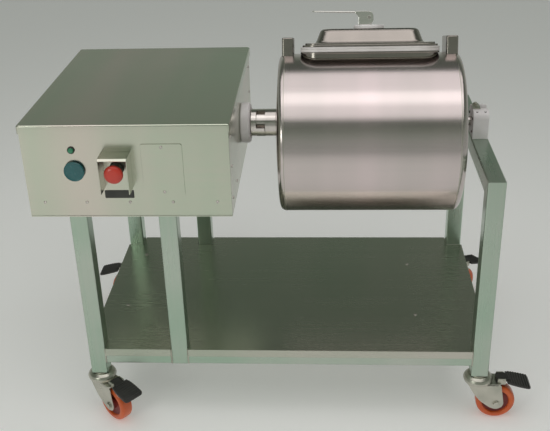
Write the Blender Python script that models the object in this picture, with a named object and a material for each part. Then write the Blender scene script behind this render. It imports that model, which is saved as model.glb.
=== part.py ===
"""Horizontal drum tumbler on a tube stand: a geared motor in a sheet casing turns a lidded steel drum.

Metres, +Z up, +X from the drive casing to the free end of the drum, -Y towards the operator.
The origin is on the floor under the middle of the tube frame.
"""

import math

import bmesh
import bpy
from mathutils import Matrix, Vector

# Frame, all of one square tube
TUBE = 0.038
TUBE_WALL = 0.0015
FRAME_LENGTH = 0.904
FRAME_DEPTH = 0.534
MIDDLE_LEG_FROM_LEFT = 0.190
RAIL_ABOVE_FOOT = 0.028
CROSSBAR_TOP_ABOVE_FOOT = 0.480
FOOT_PLATE = 0.004

# Casters
WHEEL_RADIUS = 0.044
WHEEL_WIDTH = 0.032
CASTER_TRAIL = 0.042
CASTER_HEIGHT = 0.118
STEM_RADIUS = 0.006
FORK_PLATE = 0.0025
FORK_SIDE_GAP = 0.003
AXLE_RADIUS = 0.004
PEDAL_LENGTH = 0.060
PEDAL_WIDTH = 0.050
PEDAL_THICKNESS = 0.010
PEDAL_SLOPE = math.radians(12)
PEDAL_PIVOT_X = 0.056
PEDAL_PIVOT_BELOW_FOOT = 0.015
PEDAL_PIN_RADIUS = 0.002
PEDAL_ARM_WIDTH = 0.024
EAR_THICKNESS = 0.003
CASTER_YAWS = {
    "front_left": math.radians(-40),
    "rear_left": math.radians(180),
    "front_right": 0.0,
    "rear_right": math.radians(40),
}

# Shelf
SHELF_SHEET = 0.002
SHELF_LIP = 0.020
SHELF_CLEARANCE = 0.0008

# Drive casing
SHEET = 0.0015
CASING_LEFT_OVERHANG = 0.080
CASING_WIDTH = 0.427
CASING_DEPTH = 0.538
CASING_HEIGHT = 0.206
CASING_ABOVE_FOOT = 0.405
COVER_LIP = 0.018
COVER_OVERHANG = 0.003
BASE_PLATE = 0.003

# Controls on the front panel, from its lower left corner
PILOT_X, PILOT_Z = 0.1040, 0.1515
PILOT_RADIUS = 0.0077
PILOT_PROUD = 0.006
START_X, START_Z = 0.1060, 0.1060
START_RADIUS = 0.022
START_PROUD = 0.009
START_TRAVEL = 0.003
STOP_X, STOP_Z = 0.195, 0.1125
STOP_RADIUS = 0.020
STOP_COLLAR_RADIUS = 0.015
STOP_PROUD = 0.044
STOP_TRAVEL = 0.005
SHROUD_WIDTH = 0.060
SHROUD_TOP_Z = 0.1475
SHROUD_HEIGHT = 0.0785
SHROUD_DEPTH = 0.041
SHROUD_LOW_DEPTH = 0.040
SHROUD_BEND = 0.004
ACCESS_X, ACCESS_Z = 0.289, 0.1065
ACCESS_WIDTH = 0.085
ACCESS_HEIGHT = 0.115
ACCESS_LAND = 0.014

# Drive line
AXIS_ABOVE_FOOT = 0.511
SHAFT_RADIUS = 0.0125
SEAL_RADIUS = 0.046
SEAL_WIDTH = 0.0225
COUPLING_RADIUS = 0.0312
DRIVE_SLEEVE = 0.0132
DOG_LENGTH = 0.0195
DOG_ANGLE = math.radians(33)
DOG_COUNT = 3
DOG_INNER = 0.0165
DOG_FIRST = math.radians(82)
MOTOR_RADIUS = 0.058
MOTOR_LENGTH = 0.165
ROTOR_RADIUS = 0.008
FAN_RADIUS = 0.046
FAN_LENGTH = 0.018
GEARBOX_SIZE = (0.105, 0.120)
PEDESTAL_SHEET = 0.004

# Drum, measured from the turning axis; "up" is towards the port
DRUM_LENGTH = 0.400
DRUM_DISH = 0.008
DRUM_FLAT = 0.058
DRUM_RADIUS = 0.178
DRUM_OFFSET = 0.024
DRUM_SHEET = 0.002
DRUM_KNUCKLE = 0.014
DRUM_CENTRE_X = 0.185
PORT_TILT = math.radians(16)
PADDLE_HEIGHT = 0.040
PADDLE_THICKNESS = 0.004
PADDLE_LENGTH = 0.330
BOSS_RADIUS = 0.030
BOSS_LENGTH = 0.008

# Port, lid and clamp
RIM_TOP = 0.157
RIM_THICKNESS = 0.0035
RIM_SIZE = (0.303, 0.164)
NECK_SIZE = (0.290, 0.124)
NECK_WALL = 0.002
LID_CORNER = 0.030
GASKET_THICKNESS = 0.0104
LID_FLANGE = (0.294, 0.154)
LID_FLANGE_THICKNESS = 0.0083
LID_PAN_LOW = (0.236, 0.112)
LID_PAN_HIGH = (0.212, 0.088)
LID_PAN_HEIGHT = 0.0305
LID_SHEET = 0.002
PLUG_CLEARANCE = 0.0015
PLUG_DEPTH = 0.016
PLUG_RING_HEIGHT = 0.010
PRESSURE_PLATE = 0.003
CAM_WASHER_RADIUS = 0.0335
CAM_WASHER_THICKNESS = 0.0078
BOLT_RADIUS = 0.006
PIN_RADIUS = 0.004
CAM_HIGH = 0.0158
CAM_DROP = 0.006
CAM_SPAN = math.radians(90)
LEVER_LENGTH = 0.127
LEVER_WIDTH = 0.026
LEVER_HEAD_LEFT = 0.023
LEVER_HEAD_TOP = 0.0142
LEVER_ARM_ROOT = 0.0045
LEVER_ARM_TIP = 0.0026
LEVER_RISE = 0.0024
EYE_WIDTH = 0.012
LUG_SIZE = (0.026, 0.080)
LUG_TOP = 0.1895
LUG_CENTRE = 0.180
LUG_SHEET = 0.003

# Free-end bearing
BLOCK_WIDTH = 0.035
BLOCK_DEPTH = 0.069
BLOCK_HEIGHT = 0.063
BLOCK_CORNER = 0.018
IDLE_RADIUS = 0.010
KEEPER_SIZE = (0.016, 0.030, 0.003)
KEEPER_PIVOT_FROM_BACK = 0.003

# Fits
GAP = 0.0003
RUNNING = 0.0001
ROUND = 48
SMALL_ROUND = 20

FOOT_Z = CASTER_HEIGHT
LEFT_X = -FRAME_LENGTH / 2
RIGHT_X = FRAME_LENGTH / 2
FRONT_Y = -FRAME_DEPTH / 2
BACK_Y = FRAME_DEPTH / 2
RAIL_Z = FOOT_Z + RAIL_ABOVE_FOOT
SHELF_UNDER_Z = RAIL_Z + TUBE + GAP
SHELF_Z = SHELF_UNDER_Z + SHELF_SHEET
CROSSBAR_Z = FOOT_Z + CROSSBAR_TOP_ABOVE_FOOT
CASING_Z = FOOT_Z + CASING_ABOVE_FOOT
CASING_TOP_Z = CASING_Z + CASING_HEIGHT
CASING_LEFT = LEFT_X - CASING_LEFT_OVERHANG
CASING_RIGHT = CASING_LEFT + CASING_WIDTH
CASING_FRONT = -CASING_DEPTH / 2
AXIS_Z = FOOT_Z + AXIS_ABOVE_FOOT
CROWN = DRUM_RADIUS - DRUM_OFFSET
LID_Z = RIM_TOP + GAP + GASKET_THICKNESS + GAP
PAN_Z = LID_Z + LID_FLANGE_THICKNESS
PAN_TOP = PAN_Z + LID_PAN_HEIGHT
WASHER_Z = PAN_TOP + GAP
PIN_Z = WASHER_Z + CAM_WASHER_THICKNESS + GAP + CAM_HIGH
PLATE_TOP = LID_Z - PLUG_DEPTH - GAP - PLUG_RING_HEIGHT - GAP
SEAL_X = CASING_RIGHT + GAP
DRIVE_HALF_X = SEAL_X + SEAL_WIDTH + GAP
DOG_X = DRIVE_HALF_X + DRIVE_SLEEVE
DRUM_END = DRUM_LENGTH / 2 + DRUM_DISH
BLOCK_X = RIGHT_X - TUBE / 2


def bore_for(shaft, sides):
    """The corner radius of a faceted bore whose flats clear a shaft by the running fit."""
    return (shaft + RUNNING) / math.cos(math.pi / sides)


def clear_scene():
    for item in list(bpy.data.objects):
        bpy.data.objects.remove(item, do_unlink=True)


def make_material(name, colour, metallic, roughness):
    made = bpy.data.materials.new(name)
    made.use_nodes = True
    shader = made.node_tree.nodes["Principled BSDF"]
    shader.inputs["Base Color"].default_value = (*colour, 1.0)
    shader.inputs["Metallic"].default_value = metallic
    shader.inputs["Roughness"].default_value = roughness
    made.diffuse_color = (*colour, 1.0)
    return made


def make_materials():
    return {
        "tube_steel": make_material("tube_steel", (0.62, 0.64, 0.62), 1.0, 0.32),
        "sheet_steel": make_material("sheet_steel", (0.60, 0.62, 0.60), 1.0, 0.36),
        "drum_steel": make_material("drum_steel", (0.72, 0.70, 0.70), 1.0, 0.26),
        "shaft_steel": make_material("shaft_steel", (0.66, 0.65, 0.63), 1.0, 0.22),
        "white_nylon": make_material("white_nylon", (0.86, 0.84, 0.83), 0.0, 0.45),
        "black_plastic": make_material("black_plastic", (0.03, 0.03, 0.03), 0.0, 0.50),
        "red_plastic": make_material("red_plastic", (0.62, 0.05, 0.04), 0.0, 0.35),
        "green_lens": make_material("green_lens", (0.06, 0.42, 0.22), 0.0, 0.15),
        "blue_plastic": make_material("blue_plastic", (0.08, 0.30, 0.38), 0.0, 0.35),
        "orange_tyre": make_material("orange_tyre", (0.72, 0.10, 0.03), 0.0, 0.42),
        "plated_steel": make_material("plated_steel", (0.64, 0.64, 0.60), 1.0, 0.30),
        "motor_paint": make_material("motor_paint", (0.12, 0.16, 0.20), 0.2, 0.50),
        "cast_alloy": make_material("cast_alloy", (0.55, 0.56, 0.57), 1.0, 0.50),
        "black_rubber": make_material("black_rubber", (0.02, 0.02, 0.02), 0.0, 0.70),
    }


def add_object(name, points, faces, material, parent=None, at=(0, 0, 0), smooth=False):
    mesh = bpy.data.meshes.new(name)
    mesh.from_pydata([tuple(p) for p in points], [], [tuple(f) for f in faces])
    settle_normals(mesh)
    if smooth:
        mesh.shade_smooth()
        mesh.set_sharp_from_angle(angle=math.radians(35))
    made = bpy.data.objects.new(name, mesh)
    bpy.context.scene.collection.objects.link(made)
    made.location = at
    made.parent = parent
    if material:
        mesh.materials.append(material)
    return made


def settle_normals(mesh):
    shape = bmesh.new()
    shape.from_mesh(mesh)
    bmesh.ops.remove_doubles(shape, verts=shape.verts, dist=1e-7)
    bmesh.ops.recalc_face_normals(shape, faces=shape.faces)
    shape.to_mesh(mesh)
    shape.free()


def add_empty(name, at, rotation=(0, 0, 0), parent=None):
    made = bpy.data.objects.new(name, None)
    bpy.context.scene.collection.objects.link(made)
    made.location = at
    made.rotation_euler = rotation
    made.parent = parent
    return made


def box_shape(low, high):
    points = [
        (x, y, z)
        for x in (low[0], high[0])
        for y in (low[1], high[1])
        for z in (low[2], high[2])
    ]
    faces = [(0, 1, 3, 2), (4, 6, 7, 5), (0, 4, 5, 1), (2, 3, 7, 6), (0, 2, 6, 4), (1, 5, 7, 3)]
    return points, faces


def prism_shape(outline, low, high, axis):
    """The outline's two numbers lie on the two other axes, in X, Y, Z order."""
    count = len(outline)
    points = []
    for level in (low, high):
        for a, b in outline:
            points.append({"x": (level, a, b), "y": (a, level, b), "z": (a, b, level)}[axis])
    faces = [tuple(range(count)), tuple(range(2 * count - 1, count - 1, -1))]
    for i in range(count):
        j = (i + 1) % count
        faces.append((i, j, j + count, i + count))
    return points, faces


def rounded_ring(half_x, half_y, corner, level, per_corner):
    """Points round a rectangle with round corners."""
    points = []
    for number in range(4):
        centre_x = (half_x - corner) * (1 if number in (0, 3) else -1)
        centre_y = (half_y - corner) * (1 if number in (0, 1) else -1)
        for step in range(per_corner):
            angle = math.pi / 2 * (number + step / (per_corner - 1))
            points.append(
                (centre_x + corner * math.cos(angle), centre_y + corner * math.sin(angle), level)
            )
    return points


def circle_ring(radius, level, count, centre=(0.0, 0.0)):
    return [
        (
            centre[0] + radius * math.cos(2 * math.pi * (i + 0.5) / count),
            centre[1] + radius * math.sin(2 * math.pi * (i + 0.5) / count),
            level,
        )
        for i in range(count)
    ]


def loft_shape(rings, closed):
    """Joins rings of equal length; closed joins the last to the first, else both ends are capped."""
    count = len(rings[0])
    points = [p for ring in rings for p in ring]
    faces = []
    last = len(rings) if closed else len(rings) - 1
    for k in range(last):
        a, b = k * count, (k + 1) % len(rings) * count
        for i in range(count):
            j = (i + 1) % count
            faces.append((a + i, a + j, b + j, b + i))
    if not closed:
        faces.append(tuple(range(count)))
        faces.append(tuple(range((len(rings) - 1) * count, len(rings) * count)))
    return points, faces


def turned_shape(profile, count, axis, closed):
    """Turns (radius, distance) pairs about the axis through the origin."""
    points, faces = loft_shape([circle_ring(r, d, count) for r, d in profile], closed)
    order = {"x": (2, 0, 1), "y": (1, 2, 0), "z": (0, 1, 2)}[axis]
    return [tuple(p[i] for i in order) for p in points], faces


def combine(target, tools, operation):
    """Applies one Boolean per tool and takes the tools away."""
    for tool in tools:
        tool.hide_render = True
        tool.display_type = "WIRE"
        step = target.modifiers.new("combine", "BOOLEAN")
        step.operation = operation
        step.solver = "EXACT"
        step.object = tool
        bpy.context.view_layer.update()
        graph = bpy.context.evaluated_depsgraph_get()
        made = bpy.data.meshes.new_from_object(target.evaluated_get(graph))
        target.modifiers.clear()
        old = target.data
        target.data = made
        bpy.data.meshes.remove(old)
        bpy.data.objects.remove(tool, do_unlink=True)
        tidy_mesh(made)
    return target


def tidy_mesh(mesh):
    """Takes out what a Boolean leaves: points on top of each other and faces with no area."""
    shape = bmesh.new()
    shape.from_mesh(mesh)
    bmesh.ops.remove_doubles(shape, verts=shape.verts, dist=1e-6)
    bmesh.ops.dissolve_degenerate(shape, edges=shape.edges, dist=1e-6)
    bmesh.ops.triangulate(shape, faces=[f for f in shape.faces if len(f.verts) > 4])
    shape.to_mesh(mesh)
    shape.free()


def tool(shape, parent=None, at=(0, 0, 0)):
    return add_object("tool", *shape, None, parent, at)


def shade(item):
    item.data.shade_smooth()
    item.data.set_sharp_from_angle(angle=math.radians(35))


def tube_box(name, low, high, along, material, parent=None):
    """A square tube open at both ends."""
    item = add_object(name, *box_shape(low, high), material, parent)
    inner_low = [v + (-TUBE if i == along else TUBE_WALL) for i, v in enumerate(low)]
    inner_high = [v + (TUBE if i == along else -TUBE_WALL) for i, v in enumerate(high)]
    return combine(item, [tool(box_shape(inner_low, inner_high))], "DIFFERENCE")


# ---------------------------------------------------------------- frame


def leg_positions():
    middle = LEFT_X + MIDDLE_LEG_FROM_LEFT
    return {
        "front_left_leg": (LEFT_X, FRONT_Y),
        "rear_left_leg": (LEFT_X, BACK_Y - TUBE),
        "front_middle_leg": (middle, FRONT_Y),
        "rear_middle_leg": (middle, BACK_Y - TUBE),
        "front_right_leg": (RIGHT_X - TUBE, FRONT_Y),
        "rear_right_leg": (RIGHT_X - TUBE, BACK_Y - TUBE),
    }


def add_leg(name, x, y, foot, top, material):
    """A tube leg; one that stands on a caster has a foot plate with the stem's hole."""
    item = add_object(name, *box_shape((x, y, foot), (x + TUBE, y + TUBE, top)), material)
    floor = FOOT_PLATE if "middle" not in name else -TUBE
    inner = box_shape(
        (x + TUBE_WALL, y + TUBE_WALL, foot + floor),
        (x + TUBE - TUBE_WALL, y + TUBE - TUBE_WALL, top + TUBE),
    )
    combine(item, [tool(inner)], "DIFFERENCE")
    if "middle" not in name:
        hole = turned_shape(
            [(STEM_RADIUS + GAP, -FOOT_PLATE), (STEM_RADIUS + GAP, 2 * FOOT_PLATE)],
            SMALL_ROUND,
            "z",
            False,
        )
        combine(item, [tool(hole, at=(x + TUBE / 2, y + TUBE / 2, foot))], "DIFFERENCE")
    return item


def mitre_wedge(corner_y, towards, takes_crossbar):
    """Everything on one side of the 45 degree line down from a portal's upper corner towards its middle."""
    reach = 3 * TUBE
    level = CROSSBAR_Z + (GAP if takes_crossbar else -GAP) / math.sqrt(2)
    outline = [
        (corner_y - towards * reach, level + reach),
        (corner_y + towards * reach, level - reach),
        (corner_y + towards * reach * (-1 if takes_crossbar else 1), level + reach * (-1 if takes_crossbar else 1)),
    ]
    return prism_shape(outline, RIGHT_X - 2 * TUBE, RIGHT_X + TUBE, "x")


def add_legs(material):
    for name, (x, y) in leg_positions().items():
        if "right" in name:
            item = add_leg(name, x, y, FOOT_Z, CROSSBAR_Z, material)
            front = "front" in name
            wedge = mitre_wedge(FRONT_Y if front else BACK_Y, 1 if front else -1, False)
            combine(item, [tool(wedge)], "DIFFERENCE")
        else:
            foot = RAIL_Z if "middle" in name else FOOT_Z
            add_leg(name, x, y, foot, CASING_Z - GAP, material)


def add_crossbar(material):
    low = (RIGHT_X - TUBE, FRONT_Y, CROSSBAR_Z - TUBE)
    high = (RIGHT_X, BACK_Y, CROSSBAR_Z)
    item = tube_box("right_crossbar", low, high, 1, material)
    wedges = [mitre_wedge(FRONT_Y, 1, True), mitre_wedge(BACK_Y, -1, True)]
    combine(item, [tool(wedge) for wedge in wedges], "DIFFERENCE")


def add_rails(material):
    middle = LEFT_X + MIDDLE_LEG_FROM_LEFT
    spans = {
        "left": (LEFT_X + TUBE + GAP, middle - GAP),
        "right": (middle + TUBE + GAP, RIGHT_X - TUBE - GAP),
    }
    for side, y in (("front", FRONT_Y), ("rear", BACK_Y - TUBE)):
        for part, (start, end) in spans.items():
            low = (start, y, RAIL_Z)
            high = (end, y + TUBE, RAIL_Z + TUBE)
            tube_box(f"{side}_rail_{part}", low, high, 0, material)
    for part, x in (("left", LEFT_X), ("right", RIGHT_X - TUBE)):
        low = (x, FRONT_Y + TUBE + GAP, RAIL_Z)
        high = (x + TUBE, BACK_Y - TUBE - GAP, RAIL_Z + TUBE)
        tube_box(f"{part}_side_rail", low, high, 1, material)


def add_shelf(material):
    """A folded sheet over the rails, notched round the six legs."""
    edge = SHELF_CLEARANCE + SHELF_SHEET
    item = add_object(
        "shelf",
        *box_shape(
            (LEFT_X - edge, FRONT_Y - edge, SHELF_Z - SHELF_LIP),
            (RIGHT_X + edge, BACK_Y + edge, SHELF_Z),
        ),
        material,
    )
    under = box_shape(
        (LEFT_X - SHELF_CLEARANCE, FRONT_Y - SHELF_CLEARANCE, SHELF_Z - 2 * SHELF_LIP),
        (RIGHT_X + SHELF_CLEARANCE, BACK_Y + SHELF_CLEARANCE, SHELF_UNDER_Z),
    )
    notches = [tool(under)]
    for x, y in leg_positions().values():
        low = [x - SHELF_CLEARANCE, y - SHELF_CLEARANCE, RAIL_Z - TUBE]
        high = [x + TUBE + SHELF_CLEARANCE, y + TUBE + SHELF_CLEARANCE, RAIL_Z + 2 * TUBE]
        if x == LEFT_X:
            low[0] -= TUBE
        if x == RIGHT_X - TUBE:
            high[0] += TUBE
        if y == FRONT_Y:
            low[1] -= TUBE
        else:
            high[1] += TUBE
        notches.append(tool(box_shape(low, high)))
    combine(item, notches, "DIFFERENCE")


# ---------------------------------------------------------------- casing


def add_casing(sheet):
    left, right, front, back = CASING_LEFT, CASING_RIGHT, CASING_FRONT, -CASING_FRONT
    floor = CASING_Z + BASE_PLATE + GAP
    top = CASING_TOP_Z - SHEET - GAP
    add_object(
        "base_plate", *box_shape((left, front, CASING_Z), (right, back, CASING_Z + BASE_PLATE)), sheet
    )
    panel = add_object(
        "front_panel", *box_shape((left, front, floor), (right, front + SHEET, top)), sheet
    )
    combine(panel, front_panel_tools(), "DIFFERENCE")
    add_object("rear_panel", *box_shape((left, back - SHEET, floor), (right, back, top)), sheet)
    inner_front, inner_back = front + SHEET + GAP, back - SHEET - GAP
    add_object(
        "left_panel",
        *box_shape((left, inner_front, floor), (left + SHEET, inner_back, top)),
        sheet,
    )
    side = add_object(
        "right_panel",
        *box_shape((right - SHEET, inner_front, floor), (right, inner_back, top)),
        sheet,
    )
    bore = turned_shape([(SHAFT_RADIUS * 2, -0.01), (SHAFT_RADIUS * 2, 0.01)], SMALL_ROUND, "x", False)
    combine(side, [tool(bore, at=(right, 0, AXIS_Z))], "DIFFERENCE")
    add_top_cover(sheet)


def add_top_cover(sheet):
    reach = COVER_OVERHANG
    low = (CASING_LEFT - reach, CASING_FRONT - reach, CASING_TOP_Z - COVER_LIP)
    high = (CASING_RIGHT + reach, -CASING_FRONT + reach, CASING_TOP_Z)
    item = add_object("top_cover", *box_shape(low, high), sheet)
    inner = box_shape(
        (low[0] + SHEET, low[1] + SHEET, low[2] - COVER_LIP),
        (high[0] - SHEET, high[1] - SHEET, high[2] - SHEET),
    )
    combine(item, [tool(inner)], "DIFFERENCE")


def on_front(x, z):
    """A point on the front panel's outer face, from its lower left corner."""
    return (CASING_LEFT + x, CASING_FRONT, CASING_Z + z)


def front_panel_tools():
    reach = 0.01
    made = []
    for radius, x, z in (
        (PILOT_RADIUS * 0.7, PILOT_X, PILOT_Z),
        (START_RADIUS * 0.6, START_X, START_Z),
        (STOP_COLLAR_RADIUS * 0.7, STOP_X, STOP_Z),
    ):
        hole = turned_shape([(radius, -reach), (radius, reach)], SMALL_ROUND, "y", False)
        made.append(tool(hole, at=on_front(x, z)))
    half_x, half_z = ACCESS_WIDTH / 2 - ACCESS_LAND, ACCESS_HEIGHT / 2 - ACCESS_LAND
    window = box_shape((-half_x, -reach, -half_z), (half_x, reach, half_z))
    made.append(tool(window, at=on_front(ACCESS_X, ACCESS_Z)))
    return made


def add_controls(colours):
    """Each lamp, button and collar has a stem through the panel and a head in front of it."""
    pieces = {
        "pilot_light": (PILOT_X, PILOT_Z, PILOT_RADIUS, PILOT_RADIUS * 0.7, PILOT_PROUD, "green_lens"),
        "start_button": (START_X, START_Z, START_RADIUS, START_RADIUS * 0.6, START_PROUD, "blue_plastic"),
    }
    for name, (x, z, radius, hole, proud, colour) in pieces.items():
        back = START_TRAVEL + GAP if name == "start_button" else GAP
        profile = [
            (hole - GAP, 0.018),
            (hole - GAP, -back),
            (radius, -back),
            (radius, -proud * 0.75),
            (radius * 0.86, -proud),
        ]
        shape = turned_shape(profile, 28, "y", False)
        add_object(name, *shape, colours[colour], None, on_front(x, z), True)
    add_stop_switch(colours)
    add_stop_shroud(colours["sheet_steel"])
    half_x, half_z = ACCESS_WIDTH / 2, ACCESS_HEIGHT / 2
    cover = box_shape((-half_x, -SHEET - GAP, -half_z), (half_x, -GAP, half_z))
    add_object("access_cover", *cover, colours["sheet_steel"], None, on_front(ACCESS_X, ACCESS_Z))


def add_stop_switch(colours):
    hole = STOP_COLLAR_RADIUS * 0.7
    bore = hole * 0.55
    neck_end = STOP_PROUD - 0.012 - STOP_TRAVEL - GAP
    collar = [
        (bore, 0.030),
        (hole - GAP, 0.030),
        (hole - GAP, -GAP),
        (STOP_COLLAR_RADIUS, -GAP),
        (STOP_COLLAR_RADIUS, -neck_end),
        (bore, -neck_end),
    ]
    shape = turned_shape(collar, 24, "y", True)
    at = on_front(STOP_X, STOP_Z)
    add_object("stop_collar", *shape, colours["black_plastic"], None, at, True)
    head = STOP_PROUD - 0.012
    button = [
        (bore - GAP, 0.020),
        (bore - GAP, -head),
        (STOP_RADIUS * 0.9, -head),
        (STOP_RADIUS, -head - 0.003),
        (STOP_RADIUS * 0.93, -head - 0.008),
        (STOP_RADIUS * 0.62, -STOP_PROUD),
    ]
    shape = turned_shape(button, 24, "y", False)
    add_object("stop_button", *shape, colours["red_plastic"], None, at, True)


def add_stop_shroud(material):
    """A bent hood over the stop button: a roof and two cheeks."""
    half = SHROUD_WIDTH / 2
    low, high = SHROUD_TOP_Z - SHROUD_HEIGHT, SHROUD_TOP_Z
    outline = [
        (-GAP, low),
        (-SHROUD_LOW_DEPTH, low),
        (-SHROUD_DEPTH, (low + high) / 2),
        (-SHROUD_DEPTH, high - SHROUD_BEND),
        (-SHROUD_DEPTH + SHROUD_BEND, high),
        (-GAP, high),
    ]
    at = on_front(STOP_X, 0)
    item = add_object("stop_shroud", *prism_shape(outline, -half, half, "x"), material, None, at)
    inner = [
        (SHEET, low - SHEET),
        (-2 * SHROUD_DEPTH, low - SHEET),
        (-2 * SHROUD_DEPTH, high - SHROUD_BEND),
        (-SHROUD_DEPTH + SHROUD_BEND, high - SHEET),
        (SHEET, high - SHEET),
    ]
    cut = prism_shape(inner, -half + SHEET, half - SHEET, "x")
    combine(item, [tool(cut, at=at)], "DIFFERENCE")


# ---------------------------------------------------------------- drive


def add_drive(colours):
    box_length, box_side = GEARBOX_SIZE
    box_right = CASING_RIGHT - 0.045
    box_left = box_right - box_length
    floor = CASING_Z + BASE_PLATE + GAP
    half = box_side / 2
    housing = add_object(
        "gearbox",
        *box_shape((box_left, -half, AXIS_Z - half), (box_right, half, AXIS_Z + half)),
        colours["cast_alloy"],
    )
    foot = box_shape((box_left, -half, floor), (box_right, half, AXIS_Z - half + PEDESTAL_SHEET))
    combine(housing, [tool(foot)], "UNION")
    pocket = turned_shape([(SHAFT_RADIUS + GAP, -0.060), (SHAFT_RADIUS + GAP, 0.01)], 24, "x", False)
    tunnel = box_shape(
        (box_left - TUBE, -half + 0.012, floor - 0.01), (box_right + TUBE, half - 0.012, AXIS_Z - half - 0.004)
    )
    combine(housing, [tool(pocket, at=(box_right, 0, AXIS_Z)), tool(tunnel)], "DIFFERENCE")
    add_motor(box_left, colours)
    start = box_right - 0.060 + GAP
    end = DOG_X + DOG_LENGTH + 0.012
    shaft = turned_shape([(SHAFT_RADIUS, start), (SHAFT_RADIUS, end)], 24, "x", False)
    add_object("drive_shaft", *shaft, colours["shaft_steel"], None, (0, 0, AXIS_Z), True)
    hole = bore_for(SHAFT_RADIUS, ROUND)
    seal = [
        (hole, 0),
        (SEAL_RADIUS * 0.93, 0),
        (SEAL_RADIUS, 0.008),
        (SEAL_RADIUS, SEAL_WIDTH - 0.003),
        (SEAL_RADIUS * 0.93, SEAL_WIDTH),
        (hole, SEAL_WIDTH),
    ]
    shape = turned_shape(seal, ROUND, "x", True)
    add_object("seal_disc", *shape, colours["white_nylon"], None, (SEAL_X, 0, AXIS_Z), True)
    add_coupling_half("drive_coupling", DRIVE_HALF_X, DRIVE_SLEEVE, 1, colours, None, 0)


def add_motor(box_left, colours):
    fan_room = FAN_LENGTH + 0.006
    body_end = -MOTOR_LENGTH
    hole = bore_for(ROTOR_RADIUS, 32)
    profile = [
        (hole, body_end),
        (MOTOR_RADIUS * 0.85, body_end),
        (MOTOR_RADIUS, body_end + 0.008),
        (MOTOR_RADIUS, -0.010),
        (MOTOR_RADIUS * 0.8, -GAP),
        (hole, -GAP),
    ]
    shape = turned_shape(profile, 32, "x", True)
    at = (box_left, 0, AXIS_Z)
    add_object("motor", *shape, colours["motor_paint"], None, at, True)
    fan = [
        (ROTOR_RADIUS, -0.004),
        (ROTOR_RADIUS, body_end - 0.003),
        (FAN_RADIUS, body_end - 0.003),
        (FAN_RADIUS, body_end - 0.003 - FAN_LENGTH / 3),
        (0.014, body_end - 0.003 - FAN_LENGTH / 3),
        (0.014, body_end - fan_room),
    ]
    shape = turned_shape(fan, 24, "x", False)
    add_object("motor_fan", *shape, colours["black_plastic"], None, at, True)


def dog_outline(first, number):
    """One dog, seen along the axis: a sector between the inner and outer radius."""
    middle = first + 2 * math.pi * number / DOG_COUNT
    angles = [middle + DOG_ANGLE * (k / 4 - 0.5) for k in range(5)]
    outer = [(COUPLING_RADIUS * math.cos(a), COUPLING_RADIUS * math.sin(a)) for a in angles]
    inner = [(DOG_INNER * math.cos(a), DOG_INNER * math.sin(a)) for a in reversed(angles)]
    return outer + inner


def add_coupling_half(name, start, sleeve, way, colours, parent, phase):
    """A sleeve with three dogs that point along way; the half on the drum is closed behind its bore."""
    bore = SHAFT_RADIUS + GAP
    far = way * sleeve
    rings = [(bore, far), (COUPLING_RADIUS, far), (COUPLING_RADIUS, 0)]
    closed = parent is None
    if closed:
        rings.append((bore, 0))
    else:
        rings.insert(0, (bore, far / 2))
    at = (start, 0, 0 if parent else AXIS_Z)
    item = add_object(
        name, *turned_shape(rings, 36, "x", closed), colours["shaft_steel"], parent, at
    )
    reach = way * (sleeve + DOG_LENGTH - GAP)
    root = way * (sleeve - 0.002)
    for number in range(DOG_COUNT):
        outline = dog_outline(DOG_FIRST + phase, number)
        dog = prism_shape(outline, min(root, reach), max(root, reach), "x")
        combine(item, [tool(dog, parent, at)], "UNION")
    shade(item)


# ---------------------------------------------------------------- drum


def add_drum(colours):
    pivot = add_empty("drum_axis", (DRUM_CENTRE_X, 0, AXIS_Z), (-PORT_TILT, 0, 0))
    add_barrel(colours, pivot)
    add_heads(colours, pivot)
    add_drum_shafts(colours, pivot)
    add_lugs(colours, pivot)
    add_lid(colours, pivot)
    add_clamp(colours, pivot)
    return pivot


def cylinder_x(radius, half_length, count=ROUND):
    shape = turned_shape([(radius, -half_length), (radius, half_length)], count, "x", False)
    return shape


def add_barrel(colours, pivot):
    """The rolled shell with the neck, its rim and three welded mixing paddles."""
    half = DRUM_LENGTH / 2 - DRUM_KNUCKLE - GAP / 2
    down = (0, 0, -DRUM_OFFSET)
    points, faces = cylinder_x(DRUM_RADIUS, half)
    points = [(x, y, z - DRUM_OFFSET) for x, y, z in points]
    barrel = add_object("drum_barrel", points, faces, colours["drum_steel"], pivot)
    corner = LID_CORNER
    neck = [
        rounded_ring(NECK_SIZE[0] / 2, NECK_SIZE[1] / 2, corner, level, 5)
        for level in (0.10, RIM_TOP)
    ]
    rim = [
        rounded_ring(RIM_SIZE[0] / 2, RIM_SIZE[1] / 2, corner + 0.01, level, 5)
        for level in (RIM_TOP - RIM_THICKNESS, RIM_TOP)
    ]
    combine(barrel, [tool(loft_shape(neck, False), pivot)], "UNION")
    combine(barrel, [tool(loft_shape(rim, False), pivot)], "UNION")
    hollow = tool(cylinder_x(DRUM_RADIUS - DRUM_SHEET, half + TUBE), pivot, down)
    wall = NECK_WALL
    port = [
        rounded_ring(NECK_SIZE[0] / 2 - wall, NECK_SIZE[1] / 2 - wall, corner - wall, level, 5)
        for level in (0.06, RIM_TOP + 0.02)
    ]
    combine(barrel, [hollow, tool(loft_shape(port, False), pivot)], "DIFFERENCE")
    for number in range(3):
        combine(barrel, [paddle_tool(math.radians(180 + 90 * number), pivot)], "UNION")
    shade(barrel)


def paddle_tool(angle, pivot):
    outer = DRUM_RADIUS - DRUM_SHEET / 2
    inner = outer - PADDLE_HEIGHT
    half = PADDLE_THICKNESS / 2
    shape = box_shape((-PADDLE_LENGTH / 2, inner, -half), (PADDLE_LENGTH / 2, outer, half))
    turn = Matrix.Rotation(angle, 4, "X")
    points = [turn @ Vector(p) - Vector((0, 0, DRUM_OFFSET)) for p in shape[0]]
    return tool((points, shape[1]), pivot)


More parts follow.
